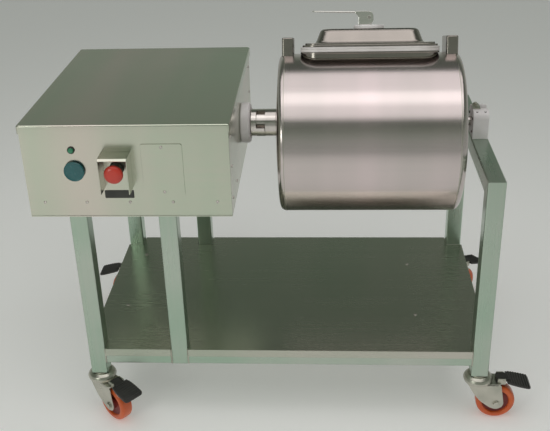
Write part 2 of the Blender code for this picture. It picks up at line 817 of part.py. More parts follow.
def head_profile(inset):
    """(radius, distance along the axis) from the middle of a dished head out to its open edge."""
    ring = DRUM_RADIUS - DRUM_KNUCKLE
    flat = DRUM_LENGTH / 2 - DRUM_KNUCKLE
    corner = DRUM_KNUCKLE - inset
    profile = [(0.004, DRUM_END - inset), (DRUM_FLAT, DRUM_END - inset)]
    for step in range(4):
        angle = math.pi / 2 * (1 - step / 3)
        profile.append((ring + corner * math.cos(angle), flat + corner * math.sin(angle)))
    profile[-1] = (profile[-1][0], flat + GAP / 2)
    return profile


def add_heads(colours, pivot):
    """Dished heads with a rounded knuckle, open towards the barrel."""
    for side, way in (("left", -1), ("right", 1)):
        profile = head_profile(0) + head_profile(DRUM_SHEET)[::-1]
        profile = [(radius, way * distance) for radius, distance in profile]
        points, faces = turned_shape(profile, ROUND, "x", False)
        points = [(x, y, z - DRUM_OFFSET) for x, y, z in points]
        add_object(f"drum_{side}_head", points, faces, colours["drum_steel"], pivot, smooth=True)


def add_drum_shafts(colours, pivot):
    left = -DRUM_END - GAP
    sleeve = DRUM_CENTRE_X + left - DOG_X - DOG_LENGTH
    phase = math.pi / DOG_COUNT + PORT_TILT
    add_coupling_half("driven_coupling", left, sleeve, -1, colours, pivot, phase)
    end = BLOCK_X + BLOCK_WIDTH / 2 - 0.002 - DRUM_CENTRE_X
    start = DRUM_END + GAP
    profile = [
        (BOSS_RADIUS, start),
        (BOSS_RADIUS, start + BOSS_LENGTH),
        (IDLE_RADIUS, start + BOSS_LENGTH),
        (IDLE_RADIUS, end - 0.002),
        (IDLE_RADIUS - 0.002, end),
    ]
    shape = turned_shape(profile, 32, "x", False)
    add_object("idle_shaft", *shape, colours["shaft_steel"], pivot, smooth=True)


def add_lugs(colours, pivot):
    """Two hollow stops on the port side, cut to sit on the barrel."""
    half_x, half_y = LUG_SIZE[0] / 2, LUG_SIZE[1] / 2
    low = CROWN - 0.020
    for name, x in (("left_lug", -LUG_CENTRE), ("right_lug", LUG_CENTRE)):
        item = add_object(
            name,
            *box_shape((x - half_x, -half_y, low), (x + half_x, half_y, LUG_TOP)),
            colours["drum_steel"],
            pivot,
        )
        wall = LUG_SHEET
        inner = box_shape(
            (x - half_x + wall, -half_y + wall, low - 0.01), (x + half_x - wall, half_y - wall, LUG_TOP - wall)
        )
        drum = tool(cylinder_x(DRUM_RADIUS + GAP, DRUM_LENGTH), pivot, (0, 0, -DRUM_OFFSET))
        combine(item, [tool(inner, pivot), drum], "DIFFERENCE")


def ring_at(size, corner, level, grow=0.0):
    return rounded_ring(size[0] / 2 + grow, size[1] / 2 + grow, corner + grow, level, 6)


def hole_ring(radius, level):
    return rounded_ring(radius, radius, radius * 0.999, level, 6)


def add_lid(colours, pivot):
    """The lid: a raised pan on a stepped flange, with a skirt that plugs the neck."""
    plug = (NECK_SIZE[0] - 2 * (NECK_WALL + PLUG_CLEARANCE), NECK_SIZE[1] - 2 * (NECK_WALL + PLUG_CLEARANCE))
    sheet = LID_SHEET
    step = LID_FLANGE_THICKNESS / 2
    hole = bore_for(BOLT_RADIUS, 24)
    inner_plug = (plug[0] - 2 * sheet, plug[1] - 2 * sheet)
    high = LID_PAN_HIGH
    low = LID_PAN_LOW
    rings = [
        hole_ring(hole, PAN_TOP),
        ring_at(high, 0.020, PAN_TOP),
        ring_at(high, 0.024, PAN_TOP - 0.004, 0.002),
        ring_at(low, 0.028, PAN_Z),
        ring_at(LID_FLANGE, LID_CORNER - 0.006, PAN_Z, -0.006),
        ring_at(LID_FLANGE, LID_CORNER - 0.006, PAN_Z - step, -0.006),
        ring_at(LID_FLANGE, LID_CORNER, PAN_Z - step),
        ring_at(LID_FLANGE, LID_CORNER, LID_Z),
        ring_at(plug, 0.026, LID_Z),
        ring_at(plug, 0.026, LID_Z - PLUG_DEPTH),
        ring_at(inner_plug, 0.024, LID_Z - PLUG_DEPTH),
        ring_at(inner_plug, 0.024, PAN_Z - sheet),
        ring_at(low, 0.026, PAN_Z - sheet, -sheet),
        ring_at(high, 0.022, PAN_TOP - 0.004 - sheet, -sheet + 0.002),
        ring_at(high, 0.018, PAN_TOP - sheet, -sheet),
        hole_ring(hole, PAN_TOP - sheet),
    ]
    add_object("lid", *loft_shape(rings, True), colours["drum_steel"], pivot, smooth=True)
    grow = PLUG_CLEARANCE
    gasket = [
        ring_at(RIM_SIZE, LID_CORNER + 0.01, RIM_TOP + GAP),
        ring_at(RIM_SIZE, LID_CORNER + 0.01, RIM_TOP + GAP + GASKET_THICKNESS),
        ring_at(plug, 0.026, RIM_TOP + GAP + GASKET_THICKNESS, grow),
        ring_at(plug, 0.026, RIM_TOP + GAP, grow),
    ]
    add_object("gasket", *loft_shape(gasket, True), colours["white_nylon"], pivot, smooth=True)
    top = LID_Z - PLUG_DEPTH - GAP
    ring = [
        ring_at(plug, 0.026, top, 0.0006),
        ring_at(plug, 0.026, top - PLUG_RING_HEIGHT, 0.0006),
        ring_at(plug, 0.016, top - PLUG_RING_HEIGHT, -0.010),
        ring_at(plug, 0.016, top, -0.010),
    ]
    add_object("plug_ring", *loft_shape(ring, True), colours["black_rubber"], pivot, smooth=True)
    hole = bore_for(BOLT_RADIUS, 36)
    washer = [
        (hole, WASHER_Z),
        (CAM_WASHER_RADIUS, WASHER_Z),
        (CAM_WASHER_RADIUS, WASHER_Z + CAM_WASHER_THICKNESS - 0.001),
        (CAM_WASHER_RADIUS - 0.001, WASHER_Z + CAM_WASHER_THICKNESS),
        (hole, WASHER_Z + CAM_WASHER_THICKNESS),
    ]
    shape = turned_shape(washer, 36, "z", True)
    add_object("cam_washer", *shape, colours["white_nylon"], pivot, smooth=True)


def add_clamp(colours, pivot):
    """The tie bolt with its pressure plate and cross pin, and the cam lever on the pin."""
    plug = (NECK_SIZE[0] - 2 * (NECK_WALL + PLUG_CLEARANCE), NECK_SIZE[1] - 2 * (NECK_WALL + PLUG_CLEARANCE))
    plate = [
        ring_at(plug, 0.022, PLATE_TOP - PRESSURE_PLATE, -0.002),
        ring_at(plug, 0.022, PLATE_TOP, -0.002),
    ]
    bolt = add_object("tie_bolt", *loft_shape(plate, False), colours["shaft_steel"], pivot)
    half_eye = EYE_WIDTH / 2
    rod = turned_shape([(BOLT_RADIUS, PLATE_TOP - 0.001), (BOLT_RADIUS, PIN_Z - 0.004)], 20, "z", False)
    eye = turned_shape([(0.0085, -half_eye), (0.0085, half_eye)], 20, "y", False)
    pin = turned_shape([(PIN_RADIUS, -LEVER_WIDTH / 2), (PIN_RADIUS, LEVER_WIDTH / 2)], 20, "y", False)
    at_pin = (0, 0, PIN_Z)
    combine(bolt, [tool(rod, pivot), tool(eye, pivot, at_pin), tool(pin, pivot, at_pin)], "UNION")
    shade(bolt)
    add_lever(colours, pivot)


def lever_outline():
    """The cam's lift falls in step with the angle, so the bolt's drop is a fixed share of the lever's turn."""
    fall = CAM_DROP / CAM_SPAN
    outline = [(-LEVER_HEAD_LEFT, -CAM_HIGH)]
    for step in range(11):
        angle = math.radians(96) * step / 10
        lift = CAM_HIGH - fall * angle
        outline.append(
            (
                lift * math.sin(angle) - fall * math.cos(angle),
                -lift * math.cos(angle) - fall * math.sin(angle),
            )
        )
    outline += [(0.0092, 0.006), (0.0062, 0.0115), (0.0, LEVER_HEAD_TOP)]
    outline += [(-LEVER_HEAD_LEFT, LEVER_HEAD_TOP)]
    outline += [(-LEVER_LENGTH, LEVER_HEAD_TOP + LEVER_RISE)]
    outline += [(-LEVER_LENGTH, LEVER_HEAD_TOP + LEVER_RISE - LEVER_ARM_TIP)]
    outline += [(-LEVER_HEAD_LEFT - 0.010, LEVER_HEAD_TOP - LEVER_ARM_ROOT)]
    outline += [(-LEVER_HEAD_LEFT - 0.003, LEVER_HEAD_TOP - LEVER_ARM_ROOT - 0.003)]
    outline += [(-LEVER_HEAD_LEFT, LEVER_HEAD_TOP - LEVER_ARM_ROOT - 0.010)]
    return outline


def add_lever(colours, pivot):
    half = LEVER_WIDTH / 2
    at = (0, 0, PIN_Z)
    item = add_object(
        "lever", *prism_shape(lever_outline(), -half, half, "y"), colours["shaft_steel"], pivot, at
    )
    slot_half = EYE_WIDTH / 2 + GAP
    slot = box_shape((-0.0125, -slot_half, -0.05), (0.05, slot_half, 0.05))
    radius = bore_for(PIN_RADIUS, SMALL_ROUND)
    hole = turned_shape([(radius, -LEVER_WIDTH), (radius, LEVER_WIDTH)], SMALL_ROUND, "y", False)
    combine(item, [tool(slot, pivot, at), tool(hole, pivot, at)], "DIFFERENCE")
    shade(item)


# ---------------------------------------------------------------- free-end bearing


def add_bearing(colours):
    half = BLOCK_DEPTH / 2
    low = CROSSBAR_Z + GAP
    high = low + BLOCK_HEIGHT
    outline = [(-half, low), (half, low)]
    for centre_y, start in ((half - BLOCK_CORNER, 0), (-half + BLOCK_CORNER, 90)):
        for step in range(7):
            angle = math.radians(start + 15 * step)
            outline.append(
                (centre_y + BLOCK_CORNER * math.cos(angle), high - BLOCK_CORNER + BLOCK_CORNER * math.sin(angle))
            )
    left = BLOCK_X - BLOCK_WIDTH / 2
    block = add_object(
        "bearing_block", *prism_shape(outline, left, left + BLOCK_WIDTH, "x"), colours["white_nylon"]
    )
    radius = bore_for(IDLE_RADIUS, 32)
    seat = turned_shape([(radius, -TUBE), (radius, TUBE)], 32, "x", False)
    slot = box_shape((-TUBE, -radius, 0), (TUBE, radius, TUBE * 2))
    centre = (BLOCK_X, 0, AXIS_Z)
    combine(block, [tool(seat, at=centre), tool(slot, at=centre)], "DIFFERENCE")
    shade(block)
    width, length, thickness = KEEPER_SIZE
    pivot_at = (left + width / 2 + 0.001, length / 2 - KEEPER_PIVOT_FROM_BACK, high + GAP)
    forward = -(length - KEEPER_PIVOT_FROM_BACK)
    outline = [(-width / 2, forward), (width / 2, forward), (width / 2, 0)]
    for step in range(1, 6):
        angle = math.radians(30 * step)
        outline.append((width / 2 * math.cos(angle), width / 2 * math.sin(angle)))
    outline.append((-width / 2, 0))
    add_object(
        "bearing_keeper",
        *prism_shape(outline, 0, thickness, "z"),
        colours["plated_steel"],
        None,
        pivot_at,
    )


# ---------------------------------------------------------------- casters


def caster_places():
    inset = TUBE / 2
    return {
        "front_left": (LEFT_X + inset, FRONT_Y + inset),
        "rear_left": (LEFT_X + inset, BACK_Y - inset),
        "front_right": (RIGHT_X - inset, FRONT_Y + inset),
        "rear_right": (RIGHT_X - inset, BACK_Y - inset),
    }


def add_casters(colours):
    for name, (x, y) in caster_places().items():
        pivot = add_empty(f"{name}_caster_axis", (x, y, FOOT_Z), (0, 0, CASTER_YAWS[name]))
        add_fork(f"{name}_fork", pivot, colours["plated_steel"])
        add_wheel(f"{name}_wheel", pivot, colours["orange_tyre"])
        add_pedal(f"{name}_pedal", pivot, colours["black_plastic"])


def add_fork(name, pivot, material):
    """The swivel head with its stem, the crown and two cheeks with the axle across them."""
    head = [
        (STEM_RADIUS, 0.030),
        (STEM_RADIUS, -0.003),
        (0.024, -0.003),
        (0.030, -0.008),
        (0.033, -0.014),
        (0.031, -0.022),
    ]
    item = add_object(name, *turned_shape(head, 24, "z", False), material, pivot)
    cheek_in = WHEEL_WIDTH / 2 + FORK_SIDE_GAP
    cheek_out = cheek_in + FORK_PLATE
    crown = box_shape((-0.024, -cheek_out, -0.025), (0.050, cheek_out, -0.021))
    tools = [tool(crown, pivot)]
    axle_z = WHEEL_RADIUS - CASTER_HEIGHT
    outline = [
        (-0.024, -0.0215),
        (-0.012, -0.044),
        (0.004, -0.066),
        (CASTER_TRAIL - 0.014, axle_z - 0.011),
        (CASTER_TRAIL, axle_z - 0.016),
        (CASTER_TRAIL + 0.013, axle_z - 0.010),
        (CASTER_TRAIL + 0.017, axle_z),
        (CASTER_TRAIL + 0.012, -0.046),
        (0.050, -0.0215),
    ]
    for low, high in ((cheek_in, cheek_out), (-cheek_out, -cheek_in)):
        tools.append(tool(prism_shape(outline, low, high, "y"), pivot))
    axle = turned_shape(
        [(AXLE_RADIUS, -cheek_out - 0.004), (AXLE_RADIUS, cheek_out + 0.004)], 16, "y", False
    )
    tools.append(tool(axle, pivot, (CASTER_TRAIL, 0, axle_z)))
    tools += pedal_ears(pivot)
    combine(item, tools, "UNION")
    shade(item)


def pedal_ears(pivot):
    """Two ears on the crown and the pin across them that the pedal hinges on."""
    ear_in = PEDAL_ARM_WIDTH / 2 + GAP
    ear_out = ear_in + EAR_THICKNESS
    top = -PEDAL_PIVOT_BELOW_FOOT + 0.005
    made = []
    for low, high in ((ear_in, ear_out), (-ear_out, -ear_in)):
        ear = box_shape((PEDAL_PIVOT_X - 0.014, low, -0.0245), (PEDAL_PIVOT_X + 0.005, high, top))
        made.append(tool(ear, pivot))
    reach = ear_out + 0.001
    pin = turned_shape([(PEDAL_PIN_RADIUS, -reach), (PEDAL_PIN_RADIUS, reach)], 12, "y", False)
    made.append(tool(pin, pivot, (PEDAL_PIVOT_X, 0, -PEDAL_PIVOT_BELOW_FOOT)))
    return made


def add_wheel(name, pivot, material):
    half = WHEEL_WIDTH / 2
    profile = [
        (bore_for(AXLE_RADIUS, 32), half),
        (0.012, half),
        (0.014, half - 0.005),
        (WHEEL_RADIUS - 0.014, half - 0.005),
        (WHEEL_RADIUS - 0.012, half),
        (WHEEL_RADIUS, half - 0.005),
    ]
    mirrored = [(r, -d) for r, d in reversed(profile)]
    shape = turned_shape(profile + mirrored, 32, "y", True)
    at = (CASTER_TRAIL, 0, WHEEL_RADIUS - CASTER_HEIGHT)
    add_object(name, *shape, material, pivot, at, True)


def add_pedal(name, pivot, material):
    """The brake pedal: a broad tread on a narrow arm that turns on the fork's pin, just over the wheel."""
    length, thick, half = PEDAL_LENGTH, PEDAL_THICKNESS, PEDAL_WIDTH / 2
    start = 0.0075
    slope = math.tan(PEDAL_SLOPE)
    outline = [
        (start, thick * 0.3),
        (length, thick * 0.3 - length * slope),
        (length, -thick * 0.3 - length * slope),
        (length * 0.8, -thick * 0.7 - length * 0.8 * slope),
        (start, -thick * 0.4),
    ]
    at = (PEDAL_PIVOT_X, 0, -PEDAL_PIVOT_BELOW_FOOT)
    item = add_object(name, *prism_shape(outline, -half, half, "y"), material, pivot, at)
    arm_half = PEDAL_ARM_WIDTH / 2
    arm = box_shape((-0.016, -arm_half, -thick * 0.4), (start + 0.004, arm_half, thick * 0.35))
    combine(item, [tool(arm, pivot, at)], "UNION")
    radius = bore_for(PEDAL_PIN_RADIUS, 12)
    hole = turned_shape([(radius, -PEDAL_WIDTH), (radius, PEDAL_WIDTH)], 12, "y", False)
    combine(item, [tool(hole, pivot, at)], "DIFFERENCE")


def build():
    clear_scene()
    colours = make_materials()
    add_legs(colours["tube_steel"])
    add_crossbar(colours["tube_steel"])
    add_rails(colours["tube_steel"])
    add_shelf(colours["sheet_steel"])
    add_casing(colours["sheet_steel"])
    add_controls(colours)
    add_drive(colours)
    add_drum(colours)
    add_bearing(colours)
    add_casters(colours)


build()
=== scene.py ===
import math

import bmesh
import bpy
import numpy as np
from mathutils import Matrix, Vector


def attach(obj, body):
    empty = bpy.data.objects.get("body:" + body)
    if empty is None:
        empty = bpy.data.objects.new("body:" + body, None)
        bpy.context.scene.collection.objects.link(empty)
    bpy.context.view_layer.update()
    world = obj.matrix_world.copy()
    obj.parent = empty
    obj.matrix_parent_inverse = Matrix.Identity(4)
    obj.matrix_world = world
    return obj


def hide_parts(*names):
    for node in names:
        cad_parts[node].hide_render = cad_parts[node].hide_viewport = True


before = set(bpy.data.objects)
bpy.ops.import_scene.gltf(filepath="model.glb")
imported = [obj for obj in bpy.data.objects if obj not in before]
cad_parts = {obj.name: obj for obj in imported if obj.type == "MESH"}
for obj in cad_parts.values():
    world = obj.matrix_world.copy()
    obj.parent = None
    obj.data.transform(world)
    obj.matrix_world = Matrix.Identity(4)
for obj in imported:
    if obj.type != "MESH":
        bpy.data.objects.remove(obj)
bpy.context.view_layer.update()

scene = bpy.context.scene

axis = {"z": 0.629, "drumX": 0.185, "offset": 0.024, "tilt": math.radians(16)}  # the drum's turning line


# mesh helpers: every shape is a (points, faces) pair until addPiece makes it an object

def roundRect(halfA, halfB, corner, perCorner=6):
    # quarter circles of one radius at the four corners of a rectangle, joined by straight sides
    corner = min(corner, halfA - 1e-5, halfB - 1e-5)
    quarter, step = np.meshgrid(np.arange(4), np.linspace(0, 1, perCorner), indexing="ij")
    angle = (quarter + step).ravel() * math.pi / 2
    signA = np.array([1, -1, -1, 1])[quarter.ravel()]
    signB = np.array([1, 1, -1, -1])[quarter.ravel()]
    return np.stack([signA * (halfA - corner) + corner * np.cos(angle),
                     signB * (halfB - corner) + corner * np.sin(angle)], -1)


def softCorners(points, cut, steps=4, closed=True):
    # every corner becomes a quadratic curve between the points that lie `cut` away from it on its two sides
    p = np.asarray(points, float)
    back, ahead = np.roll(p, 1, 0) - p, np.roll(p, -1, 0) - p
    backLong = np.linalg.norm(back, axis=1, keepdims=True) + 1e-12
    aheadLong = np.linalg.norm(ahead, axis=1, keepdims=True) + 1e-12
    c = np.broadcast_to(np.asarray(cut, float), (len(p),))[:, None]
    a = p + back / backLong * np.minimum(c, backLong * 0.48)
    b = p + ahead / aheadLong * np.minimum(c, aheadLong * 0.48)
    t = np.linspace(0, 1, steps)[None, :, None]
    curve = (1 - t) ** 2 * a[:, None] + 2 * t * (1 - t) * p[:, None] + t * t * b[:, None]
    if closed:
        return curve.reshape(-1, p.shape[1])
    return np.concatenate([p[:1], curve[1:-1].reshape(-1, p.shape[1]), p[-1:]])


def turnedRings(profile, around=96, start=0.0):
    # each (radius, distance) pair becomes a circle at that distance along the turning line
    p = np.asarray(profile, float)
    angle = start + np.arange(around) * 2 * math.pi / around
    return np.stack([p[:, :1] * np.cos(angle), p[:, :1] * np.sin(angle),
                     np.broadcast_to(p[:, 1:], (len(p), around))], -1)


def insetOutline(outline, amount):
    # every point moves inwards along the mean of its two sides' normals, so that the sides shift by `amount`
    p = np.asarray(outline, float)
    ahead = np.roll(p, -1, 0) - p
    ahead = ahead / (np.linalg.norm(ahead, axis=1, keepdims=True) + 1e-12)
    back = np.roll(ahead, 1, 0)
    normal = np.stack([ahead[:, 1] + back[:, 1], -ahead[:, 0] - back[:, 0]], -1)
    length = np.maximum((normal ** 2).sum(1, keepdims=True), 0.6)
    turn = np.sign((p[:, 0] * np.roll(p[:, 1], -1) - p[:, 1] * np.roll(p[:, 0], -1)).sum())
    return p - normal * 2 / length * amount * turn


def prismRings(outline, low, high, edge=0.0008, steps=3):
    # the outline carried from low to high; near both ends it shrinks along a quarter circle of radius `edge`
    t = np.linspace(0, math.pi / 2, steps)
    inset = edge * (1 - np.sin(t))
    level = edge * (1 - np.cos(t))
    insets = np.concatenate([inset, inset[::-1]])
    levels = np.concatenate([low + level, high - level[::-1]])
    flat = np.stack([insetOutline(outline, amount) for amount in insets])
    return np.concatenate([flat, np.broadcast_to(levels[:, None, None], (*flat.shape[:2], 1))], -1)


def orient(rings, along, centre=(0, 0, 0)):
    # the third number of each point lies along the named axis, the first two on the other axes in order
    order = {"x": (2, 0, 1), "y": (0, 2, 1), "z": (0, 1, 2)}[along]
    return rings[..., order] + np.asarray(centre, float)


def loftShape(rings, closed=False):
    # rings of equal length are joined side by side; the ends get one face each, or meet when closed
    rows, columns = rings.shape[:2]
    r = np.arange(rows if closed else rows - 1)
    a, b = np.meshgrid(r, np.arange(columns), indexing="ij")
    nextRow, nextColumn = (a + 1) % rows, (b + 1) % columns
    quads = np.stack([a * columns + b, nextRow * columns + b, nextRow * columns + nextColumn,
                      a * columns + nextColumn], -1).reshape(-1, 4)
    faces = quads.tolist()
    if not closed:
        faces += [list(range(columns))[::-1], list(range((rows - 1) * columns, rows * columns))]
    return rings.reshape(-1, 3), faces


def joinShapes(shapes):
    # one shape from many: the face numbers of each are raised by the points before it
    points, faces, count = [], [], 0
    for p, f in shapes:
        points.append(np.asarray(p, float))
        faces += [[i + count for i in face] for face in f]
        count += len(p)
    return np.concatenate(points), faces


def moved(shape, matrix):
    # a 4 x 4 matrix applied to all points at once
    m = np.array(matrix, float)
    return shape[0] @ m[:3, :3].T + m[:3, 3], shape[1]


def block(low, high, edge=0.001, along="z", corner=None, perCorner=4):
    # a box with all edges rounded, as a round-cornered rectangle that shrinks at both ends
    low, high = np.asarray(low, float), np.asarray(high, float)
    k = {"x": (1, 2, 0), "y": (0, 2, 1), "z": (0, 1, 2)}[along]
    centre, half = (low + high) / 2, (high - low) / 2
    outline = roundRect(half[k[0]], half[k[1]], corner or edge, perCorner)
    rings = prismRings(outline, -half[k[2]], half[k[2]], edge)
    return loftShape(orient(rings, along, centre))


def addPiece(name, shape, material, body, stands=(), sharp=32, flatFirst=True):
    # a mesh from (points, faces), with doubles merged, normals outward and edges over `sharp` degrees kept
    mesh = bpy.data.meshes.new(name)
    mesh.from_pydata(np.asarray(shape[0]).tolist(), [], shape[1])
    work = bmesh.new()
    work.from_mesh(mesh)
    bmesh.ops.remove_doubles(work, verts=work.verts, dist=2e-6)
    bmesh.ops.recalc_face_normals(work, faces=work.faces)
    work.to_mesh(mesh)
    work.free()
    mesh.shade_smooth()
    mesh.set_sharp_from_angle(angle=math.radians(sharp))
    mesh.materials.append(material)
    made = bpy.data.objects.new(name, mesh)
    scene.collection.objects.link(made)
    if flatFirst:
        weigh = made.modifiers.new("flatFacesFirst", "WEIGHTED_NORMAL")
        weigh.keep_sharp = True
    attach(made, body)
    if stands:
        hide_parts(*stands)
    return made


def screwHead(at, along, radius=0.004, height=0.0018, socket=0.45, sign=1):
    # a domed disc with a six-sided or crossed recess, as a turned profile with a sunk middle
    profile = softCorners([(radius * socket, -0.0004), (radius * socket, height), (radius * 0.8, height),
                           (radius, height * 0.35), (radius, -0.0004)], 0.0004, 3, closed=False)
    rings = turnedRings(profile, 20)
    inner = turnedRings([(radius * socket, -0.0004), (radius * socket * 0.96, height * 0.3)], 20)
    shape = joinShapes([loftShape(rings), loftShape(inner)])
    points = shape[0] * [1, 1, sign]
    return orient(points, along, at), shape[1]


print("helpers ready")


# materials: one dictionary of looks, built from two shared node groups

def newGroup(name, inputs, outputs):
    # a shader node group with the named input and output sockets
    group = bpy.data.node_groups.new(name, "ShaderNodeTree")
    for label, kind, value in inputs:
        socket = group.interface.new_socket(label, in_out="INPUT", socket_type=kind)
        if value is not None:
            socket.default_value = value
    for label, kind in outputs:
        group.interface.new_socket(label, in_out="OUTPUT", socket_type=kind)
    return group, group.nodes.new("NodeGroupInput"), group.nodes.new("NodeGroupOutput")


def addNode(nodes, kind, values=(), group=None, operation=None):
    # one node, with the values of its input sockets given by name or number
    node = nodes.new(kind)
    if group:
        node.node_tree = group
    if operation:
        node.operation = operation
    for socket, value in dict(values).items():
        node.inputs[socket].default_value = value
    return node


def makeBrushedGroup():
    # fine lines: noise on coordinates squeezed across the grain; broad lines: the same, coarser
    group, given, out = newGroup(
        "brushedLines", [("Coordinates", "NodeSocketVector", None)],
        [("Height", "NodeSocketFloat"), ("Streaks", "NodeSocketFloat")])
    for scale, detail, label in ((1.0, 3.0, "Height"), (0.16, 4.0, "Streaks")):
        noise = addNode(group.nodes, "ShaderNodeTexNoise", {"Scale": scale, "Detail": detail, "Roughness": 0.62})
        group.links.new(given.outputs["Coordinates"], noise.inputs["Vector"])
        group.links.new(noise.outputs["Fac"], out.inputs[label])
    return group


def makeHandledGroup():
    # large soft patches of haze, as left by wiping and handling
    group, given, out = newGroup(
        "handledSurface",
        [("Coordinates", "NodeSocketVector", None), ("Patch size", "NodeSocketFloat", 5.0)],
        [("Haze", "NodeSocketFloat")])
    haze = addNode(group.nodes, "ShaderNodeTexNoise", {"Detail": 5.0, "Distortion": 0.7})
    group.links.new(given.outputs["Coordinates"], haze.inputs["Vector"])
    group.links.new(given.outputs["Patch size"], haze.inputs["Scale"])
    group.links.new(haze.outputs["Fac"], out.inputs["Haze"])
    return group


brushedGroup = makeBrushedGroup()
handledGroup = makeHandledGroup()


def startMaterial(name):
    # a new material with its nodes, links and main shader
    made = bpy.data.materials.new(name)
    made.use_nodes = True
    return made, made.node_tree.nodes, made.node_tree.links, made.node_tree.nodes["Principled BSDF"]


def rangeNode(nodes, links, source, low, high):
    # noise lies mostly between 0.3 and 0.7, which is stretched to the range asked for
    node = addNode(nodes, "ShaderNodeMapRange", {"From Min": 0.3, "From Max": 0.7, "To Min": low, "To Max": high})
    links.new(source, node.inputs["Value"])
    return node.outputs["Result"]


def mixColours(nodes, links, mask, low, high):
    # a straight blend from low to high, by the mask
    node = nodes.new("ShaderNodeMix")
    node.data_type = "RGBA"
    links.new(mask, node.inputs[0])
    node.inputs[6].default_value = (*low, 1)
    node.inputs[7].default_value = (*high, 1)
    return node.outputs[2]


def weighted(nodes, links, first, share, second, rest):
    # first x share + second x rest
    scaled = addNode(nodes, "ShaderNodeMath", {1: rest}, operation="MULTIPLY")
    total = addNode(nodes, "ShaderNodeMath", {1: share}, operation="MULTIPLY_ADD")
    links.new(second, scaled.inputs[0])
    links.new(first, total.inputs[0])
    links.new(scaled.outputs[0], total.inputs[2])
    return total.outputs[0]


def bumped(nodes, links, shader, source, strength, distance):
    # a height that tilts the shader's normal
    height = addNode(nodes, "ShaderNodeBump", {"Strength": strength, "Distance": distance})
    links.new(source, height.inputs["Height"])
    links.new(height.outputs["Normal"], shader.inputs["Normal"])


def steel(name, low, high, rough, grain, reflectionBands=(3.2, 0.35, 0.35), bump=0.10):
    # brushed steel: grain holds the squeeze along X, Y and Z, small where the lines run; the band tuple spreads broad
    # bands of painted reflection, which lighten and darken the colour along the grain
    made, nodes, links, shader = startMaterial(name)
    where = nodes.new("ShaderNodeTexCoord").outputs["Object"]
    squeeze = addNode(nodes, "ShaderNodeMapping", {"Scale": grain})
    reflectionBandSpread = addNode(nodes, "ShaderNodeMapping", {"Scale": reflectionBands})
    reflectionBandNoise = addNode(nodes, "ShaderNodeTexNoise", {"Scale": 1.0, "Detail": 2.0})
    lines = addNode(nodes, "ShaderNodeGroup", group=brushedGroup)
    wiped = addNode(nodes, "ShaderNodeGroup", group=handledGroup)
    links.new(where, squeeze.inputs["Vector"])
    links.new(where, reflectionBandSpread.inputs["Vector"])
    links.new(where, wiped.inputs["Coordinates"])
    links.new(reflectionBandSpread.outputs["Vector"], reflectionBandNoise.inputs["Vector"])
    links.new(squeeze.outputs["Vector"], lines.inputs["Coordinates"])
    streaks = lines.outputs["Streaks"]
    # the colour mask: 78 parts painted reflection bands, 22 parts coarse grain streaks
    mask = rangeNode(nodes, links, weighted(nodes, links, streaks, 0.22, reflectionBandNoise.outputs["Fac"], 0.78), 0.0, 1.0)
    gloss = rangeNode(nodes, links, weighted(nodes, links, streaks, 0.5, wiped.outputs["Haze"], 0.5), *rough)
    links.new(mixColours(nodes, links, mask, low, high), shader.inputs["Base Color"])
    links.new(gloss, shader.inputs["Roughness"])
    shader.inputs["Metallic"].default_value = 1.0
    bumped(nodes, links, shader, lines.outputs["Height"], bump, 0.0004)
    return made


def moulded(name, low, high, rough, grainScale=900.0, bump=0.1, coat=0.0, specular=0.5):
    # plastic and rubber: a fine pebbled bump, with haze in the colour and in the gloss
    made, nodes, links, shader = startMaterial(name)
    where = nodes.new("ShaderNodeTexCoord").outputs["Object"]
    wiped = addNode(nodes, "ShaderNodeGroup", {"Patch size": 22.0}, group=handledGroup)
    pebble = addNode(nodes, "ShaderNodeTexNoise", {"Scale": grainScale, "Detail": 2.0})
    links.new(where, wiped.inputs["Coordinates"])
    links.new(where, pebble.inputs["Vector"])
    haze = wiped.outputs["Haze"]
    mask = rangeNode(nodes, links, haze, 0.0, 1.0)
    links.new(mixColours(nodes, links, mask, low, high), shader.inputs["Base Color"])
    links.new(rangeNode(nodes, links, haze, *rough), shader.inputs["Roughness"])
    bumped(nodes, links, shader, pebble.outputs["Fac"], bump, 0.0003)
    shader.inputs["Coat Weight"].default_value = coat
    shader.inputs["Specular IOR Level"].default_value = specular
    return made
